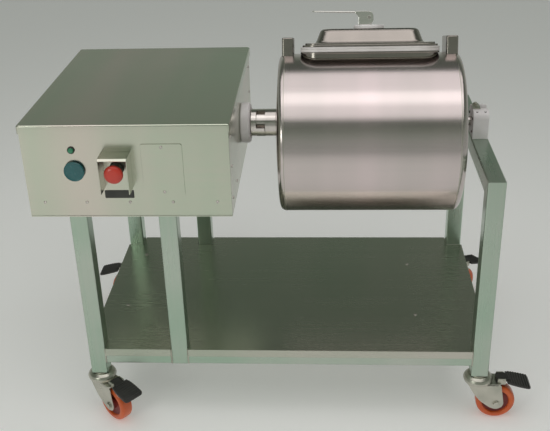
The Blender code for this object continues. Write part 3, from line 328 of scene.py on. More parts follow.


# painted reflection: each steel's low and high colours are the dark and light ends of its painted reflection bands;
# the green tint of tube, sheet and shelf steel and the pink tint of drum steel stand in for a green room and a
# pink-white top light reflected in the metal
steelLook = {
    "tube": ((0.36, 0.50, 0.39), (0.52, 0.56, 0.50), (0.24, 0.34)),
    "sheet": ((0.50, 0.58, 0.46), (0.66, 0.60, 0.54), (0.20, 0.28)),
    "shelf": ((0.44, 0.49, 0.40), (0.56, 0.54, 0.48), (0.22, 0.30)),
    "drum": ((0.56, 0.52, 0.50), (0.68, 0.59, 0.59), (0.18, 0.24)),
    "lid": ((0.28, 0.26, 0.24), (0.40, 0.36, 0.33), (0.18, 0.27)),
    "bar": ((0.58, 0.54, 0.51), (0.70, 0.66, 0.63), (0.14, 0.24)),
}
# in each steel call, the three-number tuple after the grain squeeze spreads that steel's bands of painted reflection
finish = {
    "tubeUp": steel("tubeSteelUpright", *steelLook["tube"], (900, 900, 9), (1.5, 1.5, 5)),
    "tubeLong": steel("tubeSteelLengthwise", *steelLook["tube"], (9, 900, 900), (5, 1.5, 1.5)),
    "tubeDeep": steel("tubeSteelCrosswise", *steelLook["tube"], (900, 9, 900), (1.5, 5, 1.5)),
    "sheetLong": steel("casingSheet", *steelLook["sheet"], (7, 800, 800), (6.5, 0.7, 0.7)),
    "sheetDeep": steel("casingSheetDeep", *steelLook["sheet"], (800, 7, 800), (0.7, 6.5, 0.7)),
    "shelf": steel("shelfSheet", *steelLook["shelf"], (6, 700, 700), (4, 1.2, 1.2)),
    "drum": steel("drumSheet", *steelLook["drum"], (7, 900, 900), (9, 0.4, 0.4), 0.08),
    "lid": steel("lidSheet", *steelLook["lid"], (14, 500, 500), (9, 5, 5), 0.06),
    "bar": steel("turnedBar", *steelLook["bar"], (700, 60, 60), (30, 4, 4), 0.10),
    "lever": steel("leverSteel", (0.80, 0.78, 0.75), (0.95, 0.92, 0.89), (0.16, 0.26), (12, 600, 600), (20, 9, 9),
                   0.07),
    "plated": steel("platedPressing", (0.44, 0.44, 0.38), (0.62, 0.60, 0.53), (0.24, 0.40), (40, 40, 40),
                    (25, 25, 25), 0.10),
    "cast": steel("castHousing", (0.76, 0.70, 0.71), (0.92, 0.84, 0.85), (0.40, 0.55), (90, 90, 90), (14, 14, 14),
                  0.35),
    "nylon": moulded("machinedNylon", (0.72, 0.67, 0.66), (0.86, 0.82, 0.82), (0.34, 0.50), 500, 0.06),
    "white": moulded("whiteNylon", (0.84, 0.80, 0.81), (0.93, 0.90, 0.91), (0.30, 0.45), 500, 0.05),
    "black": moulded("blackNylon", (0.016, 0.015, 0.014), (0.045, 0.042, 0.040), (0.32, 0.52), 700, 0.18),
    "rubber": moulded("blackRubber", (0.012, 0.012, 0.012), (0.03, 0.03, 0.03), (0.55, 0.75), 600, 0.15),
    "red": moulded("redButton", (0.50, 0.025, 0.014), (0.64, 0.05, 0.03), (0.22, 0.38), 900, 0.06, 0.3),
    "blue": moulded("blueButton", (0.004, 0.085, 0.095), (0.012, 0.14, 0.15), (0.18, 0.32), 900, 0.04, 0.4),
    "green": moulded("greenLens", (0.004, 0.12, 0.05), (0.01, 0.24, 0.11), (0.08, 0.16), 900, 0.02, 0.8),
    "tyre": moulded("orangeTread", (0.62, 0.085, 0.012), (0.80, 0.15, 0.03), (0.26, 0.42), 700, 0.10, 0.25),
    "hub": moulded("redHub", (0.16, 0.012, 0.009), (0.26, 0.022, 0.015), (0.30, 0.48), 700, 0.10),
    "motor": moulded("motorPaint", (0.05, 0.07, 0.10), (0.09, 0.12, 0.16), (0.30, 0.48), 400, 0.20, 0.3),
    "plate": moulded("blankPlate", (0.020, 0.020, 0.018), (0.05, 0.05, 0.045), (0.25, 0.40), 900, 0.05),
}
print("materials made:", len(finish))


# tube frame, from the frame's own node boxes

tubes = {
    "size": 0.038, "corner": 0.0032, "footZ": 0.118, "railZ": 0.146, "topZ": 0.5227, "portalTopZ": 0.598,
    "left": -0.452, "right": 0.452, "front": -0.267, "back": 0.267, "middle": -0.262,
}


def tubeRings(centreA, centreB, low, high, lowSlope=0.0, highSlope=0.0):
    # a round-cornered square carried along its length; an end's level rises with the second number by its slope
    half = tubes["size"] / 2
    outline = roundRect(half, half, tubes["corner"], 4)
    rings = prismRings(outline, low, high, 0.0006, 2)
    share = np.array([1.0, 1.0, 0.0, 0.0])[:, None]
    level = rings[..., 2] + share * lowSlope * rings[..., 1] + (1 - share) * highSlope * rings[..., 1]
    return np.stack([rings[..., 0] + centreA, rings[..., 1] + centreB, level], -1)


def buildLegs():
    # round-cornered square tubes; the right pair's tops are cut at 45 degrees to meet the crossbar
    t, half = tubes, tubes["size"] / 2
    rows = {"front": t["front"] + half, "rear": t["back"] - half}
    for row, y in rows.items():
        for side, x, foot in (("left", t["left"] + half, t["footZ"]), ("middle", t["middle"] + half, t["railZ"])):
            shape = loftShape(tubeRings(x, y, foot, t["topZ"]))
            addPiece(f"{row}_{side}_leg_tube", shape, finish["tubeUp"], "frame", [f"{row}_{side}_leg"])
        slope = -1.0 if row == "front" else 1.0
        rings = tubeRings(t["right"] - half, y, t["footZ"], t["portalTopZ"] - half - 0.0002, 0, slope)
        addPiece(f"{row}_right_leg_tube", loftShape(rings), finish["tubeUp"], "frame", [f"{row}_right_leg"])


def buildRails():
    # round-cornered square tubes along X and along Y; the crossbar's ends are cut at 45 degrees
    t, half, gap = tubes, tubes["size"] / 2, 0.0003
    middleZ = t["railZ"] + half
    spans = {"left": (t["left"] + 2 * half + gap, t["middle"] - gap),
             "right": (t["middle"] + 2 * half + gap, t["right"] - 2 * half - gap)}
    for row, y in (("front", t["front"] + half), ("rear", t["back"] - half)):
        for side, (start, end) in spans.items():
            shape = loftShape(orient(tubeRings(y, middleZ, start, end), "x"))
            addPiece(f"{row}_{side}_rail_tube", shape, finish["tubeLong"], "frame", [f"{row}_rail_{side}"])
    start, end = t["front"] + 2 * half + gap, t["back"] - 2 * half - gap
    for side, x in (("left", t["left"] + half), ("right", t["right"] - half)):
        shape = loftShape(orient(tubeRings(x, middleZ, start, end), "y"))
        addPiece(f"{side}_rail_tube", shape, finish["tubeDeep"], "frame", [f"{side}_side_rail"])
    top = t["portalTopZ"] - half
    rings = tubeRings(t["right"] - half, top, t["front"] + half + 0.0002, t["back"] - half - 0.0002, -1.0, 1.0)
    addPiece("portal_crossbar_tube", loftShape(orient(rings, "y")), finish["tubeDeep"], "frame",
             ["right_crossbar"])


def beadShape(halfA, halfB, along, centre, thick=0.0017, ripples=34):
    # a rippled rope of weld metal laid round a rectangle: a small circle whose radius waves along the path
    path = roundRect(halfA, halfB, 0.004, 5)
    closed = np.concatenate([path, path[:1]])
    length = np.concatenate([[0], np.cumsum(np.linalg.norm(np.diff(closed, axis=0), axis=1))])
    s = np.linspace(0, length[-1], ripples * 4, endpoint=False)
    p = np.stack([np.interp(s, length, closed[:, k]) for k in (0, 1)], -1)
    ahead = np.roll(p, -1, 0) - np.roll(p, 1, 0)
    ahead /= np.linalg.norm(ahead, axis=1, keepdims=True)
    out = np.stack([ahead[:, 1], -ahead[:, 0]], -1)
    radius = thick * (1 + 0.18 * np.sin(np.arange(len(s)) * math.pi / 2))
    angle = np.arange(6) * math.pi / 3
    ring = np.stack([p[:, None, 0] + out[:, None, 0] * radius[:, None] * np.cos(angle),
                     p[:, None, 1] + out[:, None, 1] * radius[:, None] * np.cos(angle),
                     radius[:, None] * np.sin(angle)], -1)
    return loftShape(orient(ring, along, centre), closed=True)


def buildWelds():
    # a bead round every joint of a rail with a leg
    t, half = tubes, tubes["size"] / 2
    reach, z = half + 0.0002, tubes["railZ"] + half
    shapes = []
    for y in (t["front"] + half, t["back"] - half):
        for x in (t["left"] + 2 * half, t["middle"], t["middle"] + 2 * half, t["right"] - 2 * half):
            shapes.append(beadShape(reach, reach, "x", (x, y, z)))
    for x in (t["left"] + half, t["right"] - half):
        for y in (t["front"] + 2 * half, t["back"] - 2 * half):
            shapes.append(beadShape(reach, reach, "y", (x, y, z)))
    addPiece("rail_welds", joinShapes(shapes), finish["plated"], "frame", flatFirst=False)


buildLegs()
buildRails()
buildWelds()
print("tube frame built")


# shelf tray and its turned-down lips

shelf = {
    "topZ": 0.1863, "sheet": 0.002, "lip": 0.019, "reach": 0.0026, "clear": 0.0009, "bend": 0.0022,
    "screwRadius": 0.0045, "screws": [(-0.3958, -0.084), (0.30, 0.12), (0.30, -0.12), (-0.3958, 0.17)],
}


def buildShelf():
    # a flat outline notched round the legs, carried through the sheet, with straight lips turned down
    t, s = tubes, shelf
    left, right = t["left"] - s["reach"], t["right"] + s["reach"]
    front, back = t["front"] - s["reach"], t["back"] + s["reach"]
    size, c = t["size"], s["clear"]
    cornerX, cornerY = t["left"] + size + c, t["front"] + size + c
    rightX, backY = t["right"] - size - c, t["back"] - size - c
    m0, m1 = t["middle"] - c, t["middle"] + size + c
    outline = [(cornerX, front), (m0, front), (m0, cornerY), (m1, cornerY), (m1, front), (rightX, front),
               (rightX, cornerY), (right, cornerY), (right, backY), (rightX, backY), (rightX, back), (m1, back),
               (m1, backY), (m0, backY), (m0, back), (cornerX, back), (cornerX, backY), (left, backY),
               (left, cornerY), (cornerX, cornerY)]
    sheet = prismRings(softCorners(outline, 0.0012, 3), s["topZ"] - s["sheet"], s["topZ"], 0.0007, 3)
    shapes = [loftShape(sheet)]
    low, high, thick = s["topZ"] - s["lip"], s["topZ"] - 0.0004, s["sheet"]
    for x0, x1 in ((cornerX, m0), (m1, rightX)):
        for y in (front, back - thick):
            shapes.append(block((x0, y, low), (x1, y + thick, high), 0.0006, "x", s["bend"] * 0.4))
    for x in (left, right - thick):
        shapes.append(block((x, cornerY, low), (x + thick, backY, high), 0.0006, "y", s["bend"] * 0.4))
    addPiece("shelf_sheet", joinShapes(shapes), finish["shelf"], "frame", ["shelf"])
    heads = [screwHead((x, y, s["topZ"]), "z", s["screwRadius"]) for x, y in s["screws"]]
    addPiece("shelf_screws", joinShapes(heads), finish["bar"], "frame")


buildShelf()
print("shelf built")


# drive casing, its cover, screws

casing = {
    "left": -0.532, "right": -0.105, "front": -0.269, "back": 0.269, "low": 0.523, "top": 0.729,
    "sheet": 0.0015, "lip": 0.018, "proud": 0.003, "bend": 0.0035,
    "screwRadius": 0.0034, "panelScrews": (0.0342, 0.1232, 0.2145, 0.3047, 0.3971), "panelScrewZ": 0.034,
    "sideScrews": [(-0.235, 0.028), (-0.15, 0.028), (0.15, 0.028), (0.235, 0.028),
                   (-0.235, 0.165), (-0.235, 0.10), (0.235, 0.165), (0.235, 0.10)],
}


def buildCasing():
    # five flat sheets with all edges rounded, then the cover and the screws
    c = casing
    low, high = c["low"], c["top"]
    floor, ceiling = low + 0.0033, high - 0.0018
    sheet, gap = c["sheet"], 0.0003
    panels = {
        "base_plate": ((c["left"], c["front"], low), (c["right"], c["back"], low + 0.003), "z", "sheetLong"),
        "front_panel": ((c["left"], c["front"], floor), (c["right"], c["front"] + sheet, ceiling), "y", "sheetLong"),
        "rear_panel": ((c["left"], c["back"] - sheet, floor), (c["right"], c["back"], ceiling), "y", "sheetLong"),
        "left_panel": ((c["left"], c["front"] + sheet + gap, floor),
                       (c["left"] + sheet, c["back"] - sheet - gap, ceiling), "x", "sheetDeep"),
        "right_panel": ((c["right"] - sheet, c["front"] + sheet + gap, floor),
                        (c["right"], c["back"] - sheet - gap, ceiling), "x", "sheetDeep"),
    }
    for name, (a, b, along, look) in panels.items():
        addPiece(f"casing_{name}", block(a, b, 0.0006, along, 0.0012), finish[look], "frame", [name])
    buildCover()
    buildCasingScrews()
    

def buildCover():
    # a tray pressed upside down: an outer and an inner round-cornered skin, joined at the lip
    # and rolled over at the top
    c, proud = casing, casing["proud"]
    halfX, halfY = (c["right"] - c["left"]) / 2 + proud, (c["back"] - c["front"]) / 2 + proud
    centre = np.array([(c["left"] + c["right"]) / 2, 0, 0])
    bend, top, low = c["bend"], c["top"], c["top"] - c["lip"]
    t = np.linspace(0, math.pi / 2, 5)
    outer = [(0.0, low), *zip(bend * (1 - np.cos(t)), top - bend * (1 - np.sin(t)))]
    inner = [(a + c["sheet"] if b < top - 0.001 else a, b - (c["sheet"] if b > low + 0.001 else 0)) for a,
             b in outer][::-1]
    rings = [np.concatenate([roundRect(halfX - a, halfY - a, 0.005, 5), np.full((20, 1), b)], -1)
             for a, b in (*inner, *outer)]
    addPiece("casing_cover", loftShape(np.stack(rings) + centre), finish["sheetLong"], "frame",
             ["top_cover"])


def buildCasingScrews():
    # screw heads along the lower edge of each panel, and up the ends of the side panels
    c, heads = casing, []
    radius = c["screwRadius"]
    for x in c["panelScrews"]:
        heads.append(screwHead((c["left"] + x, c["front"], c["low"] + c["panelScrewZ"]), "y", radius, sign=-1))
        heads.append(screwHead((c["left"] + x, c["back"], c["low"] + c["panelScrewZ"]), "y", radius))
    for y, z in c["sideScrews"]:
        heads.append(screwHead((c["right"], y, c["low"] + z), "x", radius))
        heads.append(screwHead((c["left"], y, c["low"] + z), "x", radius, sign=-1))
    addPiece("casing_screws", joinShapes(heads), finish["bar"], "frame")


buildCasing()
print("casing built")


# controls on the front panel

controls = {
    "pilot": (0.1040, 0.1515, 0.0077, 0.006), "start": (0.1060, 0.1060, 0.022, 0.009),
    "stop": (0.195, 0.1125, 0.020, 0.044),
    "hood": {"width": 0.060, "top": 0.1475, "height": 0.0785, "depth": 0.041, "low": 0.040, "sheet": 0.0015,
             "bend": 0.004},
    "access": {"x": 0.289, "z": 0.1065, "width": 0.085, "height": 0.115},
    "plate": {"x": 0.194, "z": 0.0527, "width": 0.061, "height": 0.0175},
}


def onPanel(x, z):
    # a point on the front panel, from its lower left corner
    return np.array([casing["left"] + x, casing["front"], casing["low"] + z])


def turnedOn(profile, at, around=64, closed=False):
    # a profile turned about the line through `at` that points out of the front panel
    rings = turnedRings(profile, around)
    return loftShape(orient(rings * [1, 1, -1], "y", at), closed)


def buildButtons():
    # turned profiles: a domed lens, its ring and a shallow cap
    x, z, radius, proud = controls["pilot"]
    lens = softCorners([(0.0001, -0.004), (radius * 0.66, -0.004), (radius * 0.66, 0.0006), (radius * 0.8, 0.0012),
                        (radius * 0.74, proud), (0.0001, proud)], 0.0018, 4, closed=False)
    bezel = softCorners([(radius * 0.70, 0.0004), (radius, 0.0004), (radius, 0.0026), (radius * 0.84, 0.0034),
                         (radius * 0.78, 0.0010)], 0.0005, 3)
    addPiece("pilot_lens", turnedOn(lens, onPanel(x, z), 40), finish["green"], "frame", ["pilot_light"])
    addPiece("pilot_bezel", turnedOn(bezel, onPanel(x, z), 40, True), finish["black"], "frame")
    x, z, radius, proud = controls["start"]
    cap = softCorners([(0.0001, 0.0034), (radius * 0.97, 0.0034), (radius * 0.99, proud * 0.7),
                       (radius * 0.90, proud - 0.0002),
                       (radius * 0.80, proud - 0.0014), (0.0001, proud - 0.0010)], 0.0014, 4, closed=False)
    stem = [(0.0001, -0.016), (radius * 0.58, -0.016), (radius * 0.58, 0.0036), (0.0001, 0.0036)]
    shape = joinShapes([turnedOn(cap, onPanel(x, z), 80), turnedOn(stem, onPanel(x, z), 40)])
    addPiece("start_cap", shape, finish["blue"], "start_button", ["start_button"])


def buildStopSwitch():
    # turned profiles: a stepped collar and a mushroom cap whose rim is wider than its neck
    x, z, radius, proud = controls["stop"]
    at = onPanel(x, z)
    collar = softCorners([(0.0059, -0.02), (0.0100, -0.02), (0.0100, 0.0004), (0.0150, 0.0004), (0.0150, 0.006),
                          (0.0136, 0.0075), (0.0136, 0.0264), (0.0059, 0.0264)], 0.0007, 3)
    addPiece("stop_collar_body", turnedOn(collar, at, 56, True), finish["black"], "frame", ["stop_collar"])
    head = proud - 0.012
    cap = softCorners([(0.0001, -0.018), (0.0055, -0.018), (0.0055, head), (radius * 0.86, head),
                       (radius * 0.985, head + 0.0016),
                       (radius * 0.985, head + 0.0050), (radius * 0.90, head + 0.0088),
                       (radius * 0.60, proud - 0.0004),
                       (0.0001, proud)], 0.0022, 4, closed=False)
    addPiece("stop_mushroom", turnedOn(cap, at, 80), finish["red"], "stop_button", ["stop_button"])


def buildHood():
    # the roof is one bent sheet; each cheek is a flat sheet cut to the side outline
    h = controls["hood"]
    at = onPanel(controls["stop"][0], 0)
    low, high, half, sheet, bend = h["top"] - h["height"], h["top"], h["width"] / 2, h["sheet"], h["bend"]
    cheek = [(-0.0004, low), (-h["low"], low), (-h["depth"], (low + high) / 2), (-h["depth"], high - bend),
             (-h["depth"] + bend, high), (-0.0004, high)]
    cheek = softCorners(cheek, 0.0016, 4)
    shapes = []
    for start in (-half, half - sheet):
        rings = prismRings(cheek, start, start + sheet, 0.0004, 2)
        shapes.append(loftShape(orient(rings, "x", at)))
    roofOut = softCorners([(-0.0006, high), (-h["depth"] + bend, high), (-h["depth"], high - bend)], 0.0022, 6,
                          closed=False)
    roofIn = softCorners([(-0.0006, high - sheet), (-h["depth"] + bend + 0.0005, high - sheet),
                          (-h["depth"] + 0.0008, high - bend - 0.0012)], 0.0022, 6, closed=False)
    roof = np.concatenate([roofOut, roofIn[::-1]])
    shapes.append(loftShape(orient(prismRings(roof, -half + 0.0002, half - 0.0002, 0.0003, 2), "x", at)))
    dark = softCorners([(0.0, 0.0), (0.0028, 0.0), (0.0028, 0.0010), (0.0, 0.0010)], 0.0003, 3, closed=False)
    rivet = turnedRings(dark, 20) * [1, 1, -1] + (at + [0, -0.030, high - sheet])
    addPiece("hood_rivet", loftShape(rivet), finish["plate"], "frame")
    addPiece("stop_hood", joinShapes(shapes), finish["sheetLong"], "frame", ["stop_shroud"])


def buildPlates():
    # two thin plates on the front panel with rounded corners
    a, p = controls["access"], controls["plate"]
    at = onPanel(a["x"], a["z"])
    low, high = at - [a["width"] / 2, 0.0018, a["height"] / 2], at + [a["width"] / 2, -0.0003, a["height"] / 2]
    addPiece("access_plate", block(low, high, 0.0005, "y", 0.004, 6), finish["sheetLong"], "frame",
             ["access_cover"])
    heads = [screwHead(onPanel(a["x"], z) - [0, 0.0018, 0], "y", 0.0034, sign=-1) for z in (0.1572, 0.0580)]
    addPiece("access_screws", joinShapes(heads), finish["bar"], "frame")
    at = onPanel(p["x"], p["z"])
    low, high = at - [p["width"] / 2, 0.0012, p["height"] / 2], at + [p["width"] / 2, -0.0003, p["height"] / 2]
    addPiece("blank_plate", block(low, high, 0.0004, "y", 0.0015, 4), finish["plate"], "frame")


buildButtons()
buildStopSwitch()
buildHood()
buildPlates()
print("controls built")


# bearing end of the drum

bearing = {
    "x": 0.433, "width": 0.035, "depth": 0.069, "low": 0.5983, "height": 0.063, "corner": 0.018, "edge": 0.0012,
    "slot": 0.0103, "keeper": (0.016, 0.030, 0.003), "pivotFromBack": 0.003, "screwRing": 0.0115,
}


def buildBearing():
    # the block's outline seen along the shaft: a flat foot, two round shoulders and a slot with a half-round seat
    b = bearing
    half, low, high, corner, slot = b["depth"] / 2, b["low"], b["low"] + b["height"], b["corner"], b["slot"]
    quarter = np.linspace(0, math.pi / 2, 9)
    seat = np.linspace(0, -math.pi, 17)
    rightTop = np.stack([half - corner + corner * np.cos(quarter), high - corner + corner * np.sin(quarter)], -1)
    leftTop = rightTop[::-1] * [-1, 1]
    cut = np.stack([slot * np.cos(seat), axis["z"] + slot * np.sin(seat)], -1)
    outline = np.concatenate([[(-half, low), (half, low)], rightTop, [(slot, high)], cut, [(-slot, high)], leftTop])
    rings = prismRings(outline, b["x"] - b["width"] / 2, b["x"] + b["width"] / 2, b["edge"], 4)
    addPiece("nylon_bearing_block", loftShape(orient(rings, "x")), finish["white"], "frame", ["bearing_block"])
    screws = []
    for y in (-0.024, 0.024):
        for x in (b["x"] - 0.009, b["x"] + 0.009):
            screws.append(screwHead((x, y, high - 0.0035 if abs(y) > 0.02 else high), "z", 0.0032, 0.0016))
    for y, z in ((-0.022, 0.612), (0.022, 0.612), (-0.022, 0.642), (0.022, 0.642)):
        screws.append(screwHead((b["x"] - b["width"] / 2, y, z), "x", 0.0030, sign=-1))
        screws.append(screwHead((b["x"] + b["width"] / 2, y, z), "x", 0.0030))
    addPiece("bearing_screws", joinShapes(screws), finish["plate"], "frame")


def buildKeeper():
    # a flat strip with one half-round end, a turned pivot knob and a turned grip
    b = bearing
    width, length, thick = b["keeper"]
    high = b["low"] + b["height"] + 0.0003
    pivot = (b["x"] - b["width"] / 2 + width / 2 + 0.001, length / 2 - b["pivotFromBack"], high)
    forward = -(length - b["pivotFromBack"])
    angle = np.linspace(0, math.pi, 9)
    outline = np.concatenate([[(-width / 2, forward), (width / 2, forward)],
                              np.stack([width / 2 * np.cos(angle), width / 2 * np.sin(angle)], -1)])
    plate = loftShape(orient(prismRings(outline, 0, thick, 0.0005), "z", pivot))
    knob = turnedRings(softCorners([(0.0, 0.0028), (0.0042, 0.0028), (0.0042, 0.0068), (0.0, 0.0068)], 0.001, 4,
                                   False), 24)
    grip = turnedRings(softCorners([(0.0, 0.0028), (0.0024, 0.0028), (0.0024, 0.0080), (0.0, 0.0080)], 0.0007, 4,
                                   False), 20)
    shape = joinShapes([plate, loftShape(knob + np.array(pivot)),
                        loftShape(grip + np.array(pivot) + [0, forward + 0.006, 0])])
    addPiece("keeper_plate", shape, finish["plated"], "keeper", ["bearing_keeper"])


buildBearing()
buildKeeper()
print("bearing end built")


# drum: barrel, neck, heads, paddles and lugs

drum = {
    "half": 0.1859, "radius": 0.178, "sheet": 0.002, "knuckle": 0.014, "end": 0.208, "flat": 0.058, "patch": 0.090,
    "neck": (0.145, 0.062, 0.030), "wall": 0.002, "rim": (0.1515, 0.082, 0.040), "rimTop": 0.157, "rimThick": 0.0035,
    "paddle": (0.330, 0.040, 0.004), "lug": (0.013, 0.040, 0.0045), "lugAt": 0.180, "lugTop": 0.1895,
}
drumFrame = Matrix.Translation((axis["drumX"], 0, axis["z"])) @ Matrix.Rotation(-axis["tilt"], 4, "X")


def sideRing(halfA, halfB, corner, arc=8, straight=22):
    # one round-cornered rectangle whose points keep the same share of arc and straight on every ring
    a, b = halfA - corner, halfB - corner
    low, high = np.linspace(-math.pi / 4, 0, arc, endpoint=False), np.linspace(0, math.pi / 4, arc, endpoint=False)
    run = np.linspace(-1, 1, straight, endpoint=False)
    east = np.concatenate([np.stack([a + corner * np.cos(low), -b + corner * np.sin(low)], -1),
                           np.stack([np.full(straight, halfA), b * run], -1),
                           np.stack([a + corner * np.cos(high), b + corner * np.sin(high)], -1)])
    low, high = low + math.pi / 2, high + math.pi / 2
    north = np.concatenate([np.stack([a + corner * np.cos(low), b + corner * np.sin(low)], -1),
                            np.stack([-a * run, np.full(straight, halfB)], -1),
                            np.stack([-a + corner * np.cos(high), b + corner * np.sin(high)], -1)])
    return np.concatenate([east, north, -east, -north])


def plainRing(halfA, halfB, perSide=38):
    # a rectangle with equally many points on each side
    run = np.linspace(-1, 1, perSide, endpoint=False)
    east = np.stack([np.full(perSide, halfA), halfB * run], -1)
    north = np.stack([-halfA * run, np.full(perSide, halfB)], -1)
    return np.concatenate([east, north, -east, -north])


def wrapped(flat, radius):
    # the flat pattern's second number becomes arc length round the barrel, measured at its outer skin
    turn = flat[..., 1] / drum["radius"]
    return np.stack([flat[..., 0], radius * np.sin(turn), radius * np.cos(turn) - axis["offset"]], -1)


def openGrid(rows):
    # quads between neighbouring rows and neighbouring points of an open strip
    count, width = rows.shape[:2]
    a, b = np.meshgrid(np.arange(count - 1), np.arange(width - 1), indexing="ij")
    i = a * width + b
    return rows.reshape(-1, 3), np.stack([i, i + width, i + width + 1, i + 1], -1).reshape(-1, 4).tolist()


def ringBand(rings):
    # quads between neighbouring closed rings, with both ends left open
    shape = loftShape(rings)
    return shape[0], shape[1][:-2]


def buildBarrel():
    # an annular patch runs from the port to a rectangle, and a belt carries that rectangle round the drum
    d = drum
    half, outer, inner = d["half"], d["radius"], d["radius"] - d["sheet"]
    hole = sideRing(d["neck"][0] - 0.001, d["neck"][1] - 0.001, d["neck"][2])
    hole[:, 1] = outer * np.arcsin(hole[:, 1] / outer)
    border = plainRing(half, d["patch"])
    share = np.linspace(0, 1, 12)[:, None, None] ** 1.2
    flat = hole * (1 - share) + border * share
    patch = np.concatenate([wrapped(flat[::-1], inner), wrapped(flat, outer)])
    across = border[38:77]
    turn = np.linspace(d["patch"], 2 * math.pi * outer - d["patch"], 150)[:, None]
    belt = np.stack([np.broadcast_to(across[:, 0], (150, 39)), np.broadcast_to(turn, (150, 39))], -1)
    skin, lining = wrapped(belt, outer), wrapped(belt, inner)
    shapes = [ringBand(patch), openGrid(skin), openGrid(lining)]
    shapes += [openGrid(np.stack([skin[:, k], lining[:, k]], 1)) for k in (0, -1)]
    for start in (0, 76):
        index = np.arange(start, start + 39)
        shapes.append(openGrid(np.stack([wrapped(border[index], outer), wrapped(border[index], inner)])))
    return moved(joinShapes(shapes), drumFrame)


def skinLevel(x, y, radius):
    # height of the drum's skin over its turning axis, with the knuckle's quarter circle past the barrel's end
    over = np.clip(np.abs(x) - (0.2 - drum["knuckle"]), 0, drum["knuckle"] * 0.98)
    r = radius - drum["knuckle"] + np.sqrt(drum["knuckle"] ** 2 - over ** 2)
    return np.sqrt(np.maximum(r ** 2 - np.asarray(y) ** 2, 1e-9)) - axis["offset"]


def buildNeck():
    # round-cornered rings from the barrel's skin up to the rim, over it and back down inside
    d = drum
    a, b, c = d["neck"]
    ra, rb, rc = d["rim"]
    under, top, soft = d["rimTop"] - d["rimThick"], d["rimTop"], 0.0008
    chain = [(a, b, c, None), (a, b, c, under), (ra - soft, rb - soft, rc - soft, under), (ra, rb, rc, under + soft),
             (ra, rb, rc, top - soft), (ra - soft, rb - soft, rc - soft, top),
             (a - d["wall"] + soft, b - d["wall"] + soft, c - d["wall"] + soft, top),
             (a - d["wall"], b - d["wall"], c - d["wall"], top - soft),
             (a - d["wall"], b - d["wall"], c - d["wall"], None)]
    rings = []
    for halfA, halfB, corner, level in chain:
        ring = sideRing(halfA, halfB, corner)
        z = (skinLevel(0, ring[:, 1], d["radius"] - d["sheet"]) - 0.0004 if level is None
             else np.full(len(ring), level))
        rings.append(np.concatenate([ring, z[:, None]], -1))
    return moved(loftShape(np.stack(rings), closed=True), drumFrame)


def ropeAlong(path, normals, radius, ripples, sides=6):
    # a rope round a closed path: its radius rises and falls once in every fourth point
    ahead = np.roll(path, -1, 0) - np.roll(path, 1, 0)
    ahead /= np.linalg.norm(ahead, axis=1, keepdims=True)
    side = np.cross(ahead, normals)
    angle = np.arange(sides) * 2 * math.pi / sides
    wave = radius * (1 + ripples * np.sin(np.arange(len(path)) * math.pi / 2))[:, None, None]
    return path[:,
                None] + wave * (side[:, None] * np.cos(angle)[None, :, None] + normals[:,
                None] * np.sin(angle)[None, :, None])


def buildNeckWeld():
    # a rope along the line where the neck leaves the barrel, a cylinder's height at each point
    d = drum
    dense = sideRing(d["neck"][0] + 0.0008, d["neck"][1] + 0.0008, d["neck"][2], 22, 66)
    level = np.minimum(skinLevel(0, dense[:, 1], d["radius"]), d["rimTop"] - d["rimThick"]) + 0.0002
    path = np.concatenate([dense, level[:, None]], -1)
    up = np.broadcast_to([0.0, 0.0, 1.0], path.shape)
    shape = loftShape(ropeAlong(path, up, 0.0019, 0.15), closed=True)
    addPiece("neck_weld", moved(shape, drumFrame), finish["plated"], "drum", flatFirst=False)


def headProfile(inset):
    # a flat middle, a shallow cone and a quarter-circle knuckle
    d = drum
    ring, start, corner = d["radius"] - d["knuckle"], 0.2 - d["knuckle"], d["knuckle"] - inset
    angle = np.linspace(math.pi / 2, 0, 12)
    knuckle = np.stack([ring + corner * np.cos(angle), start + corner * np.sin(angle)], -1)
    flat = softCorners([(0.0, d["end"] - inset), (d["flat"], d["end"] - inset), tuple(knuckle[0])], 0.012, 8,
                       closed=False)
    knuckle[-1, 1] = start + 0.00015
    return np.concatenate([flat, knuckle[1:]])


def buildHeads():
    # a domed profile and its inner copy, one sheet apart, turned round the drum's line
    for side, way in (("left", -1), ("right", 1)):
        profile = np.concatenate([headProfile(0), headProfile(drum["sheet"])[::-1]]) * [1, way]
        shape = loftShape(orient(turnedRings(profile, 160), "x", (0, 0, -axis["offset"])))
        addPiece(f"{side}_head_sheet", moved(shape, drumFrame), finish["head"], "drum", [f"drum_{side}_head"],
                 flatFirst=False)


def buildSeams():
    # the two welds where the heads meet the barrel: low dressed beads
    shapes = []
    for x in (-0.186, 0.186):
        angle = np.arange(360) * 2 * math.pi / 360
        out = np.stack([np.zeros(360), np.sin(angle), np.cos(angle)], -1)
        path = out * (drum["radius"] - 0.0008) + [x, 0, -axis["offset"]]
        shapes.append(loftShape(ropeAlong(path, out, 0.0013, 0.06), closed=True))
    addPiece("head_welds", moved(joinShapes(shapes), drumFrame), finish["plated"], "drum",
             flatFirst=False)


def buildPaddles():
    # three flat blades on the inner wall, a quarter turn apart
    length, height, thick = drum["paddle"]
    outer = drum["radius"] - drum["sheet"] - 0.0002
    shapes = []
    for angle in (180, 270, 360):
        plate = block((-length / 2, outer - height, -thick / 2), (length / 2, outer, thick / 2), 0.0012, "z", 0.006)
        turn = Matrix.Translation((0, 0, -axis["offset"])) @ Matrix.Rotation(math.radians(angle), 4, "X")
        shapes.append(moved(plate, turn))
    addPiece("mixing_paddles", moved(joinShapes(shapes), drumFrame), finish["lid"], "drum")


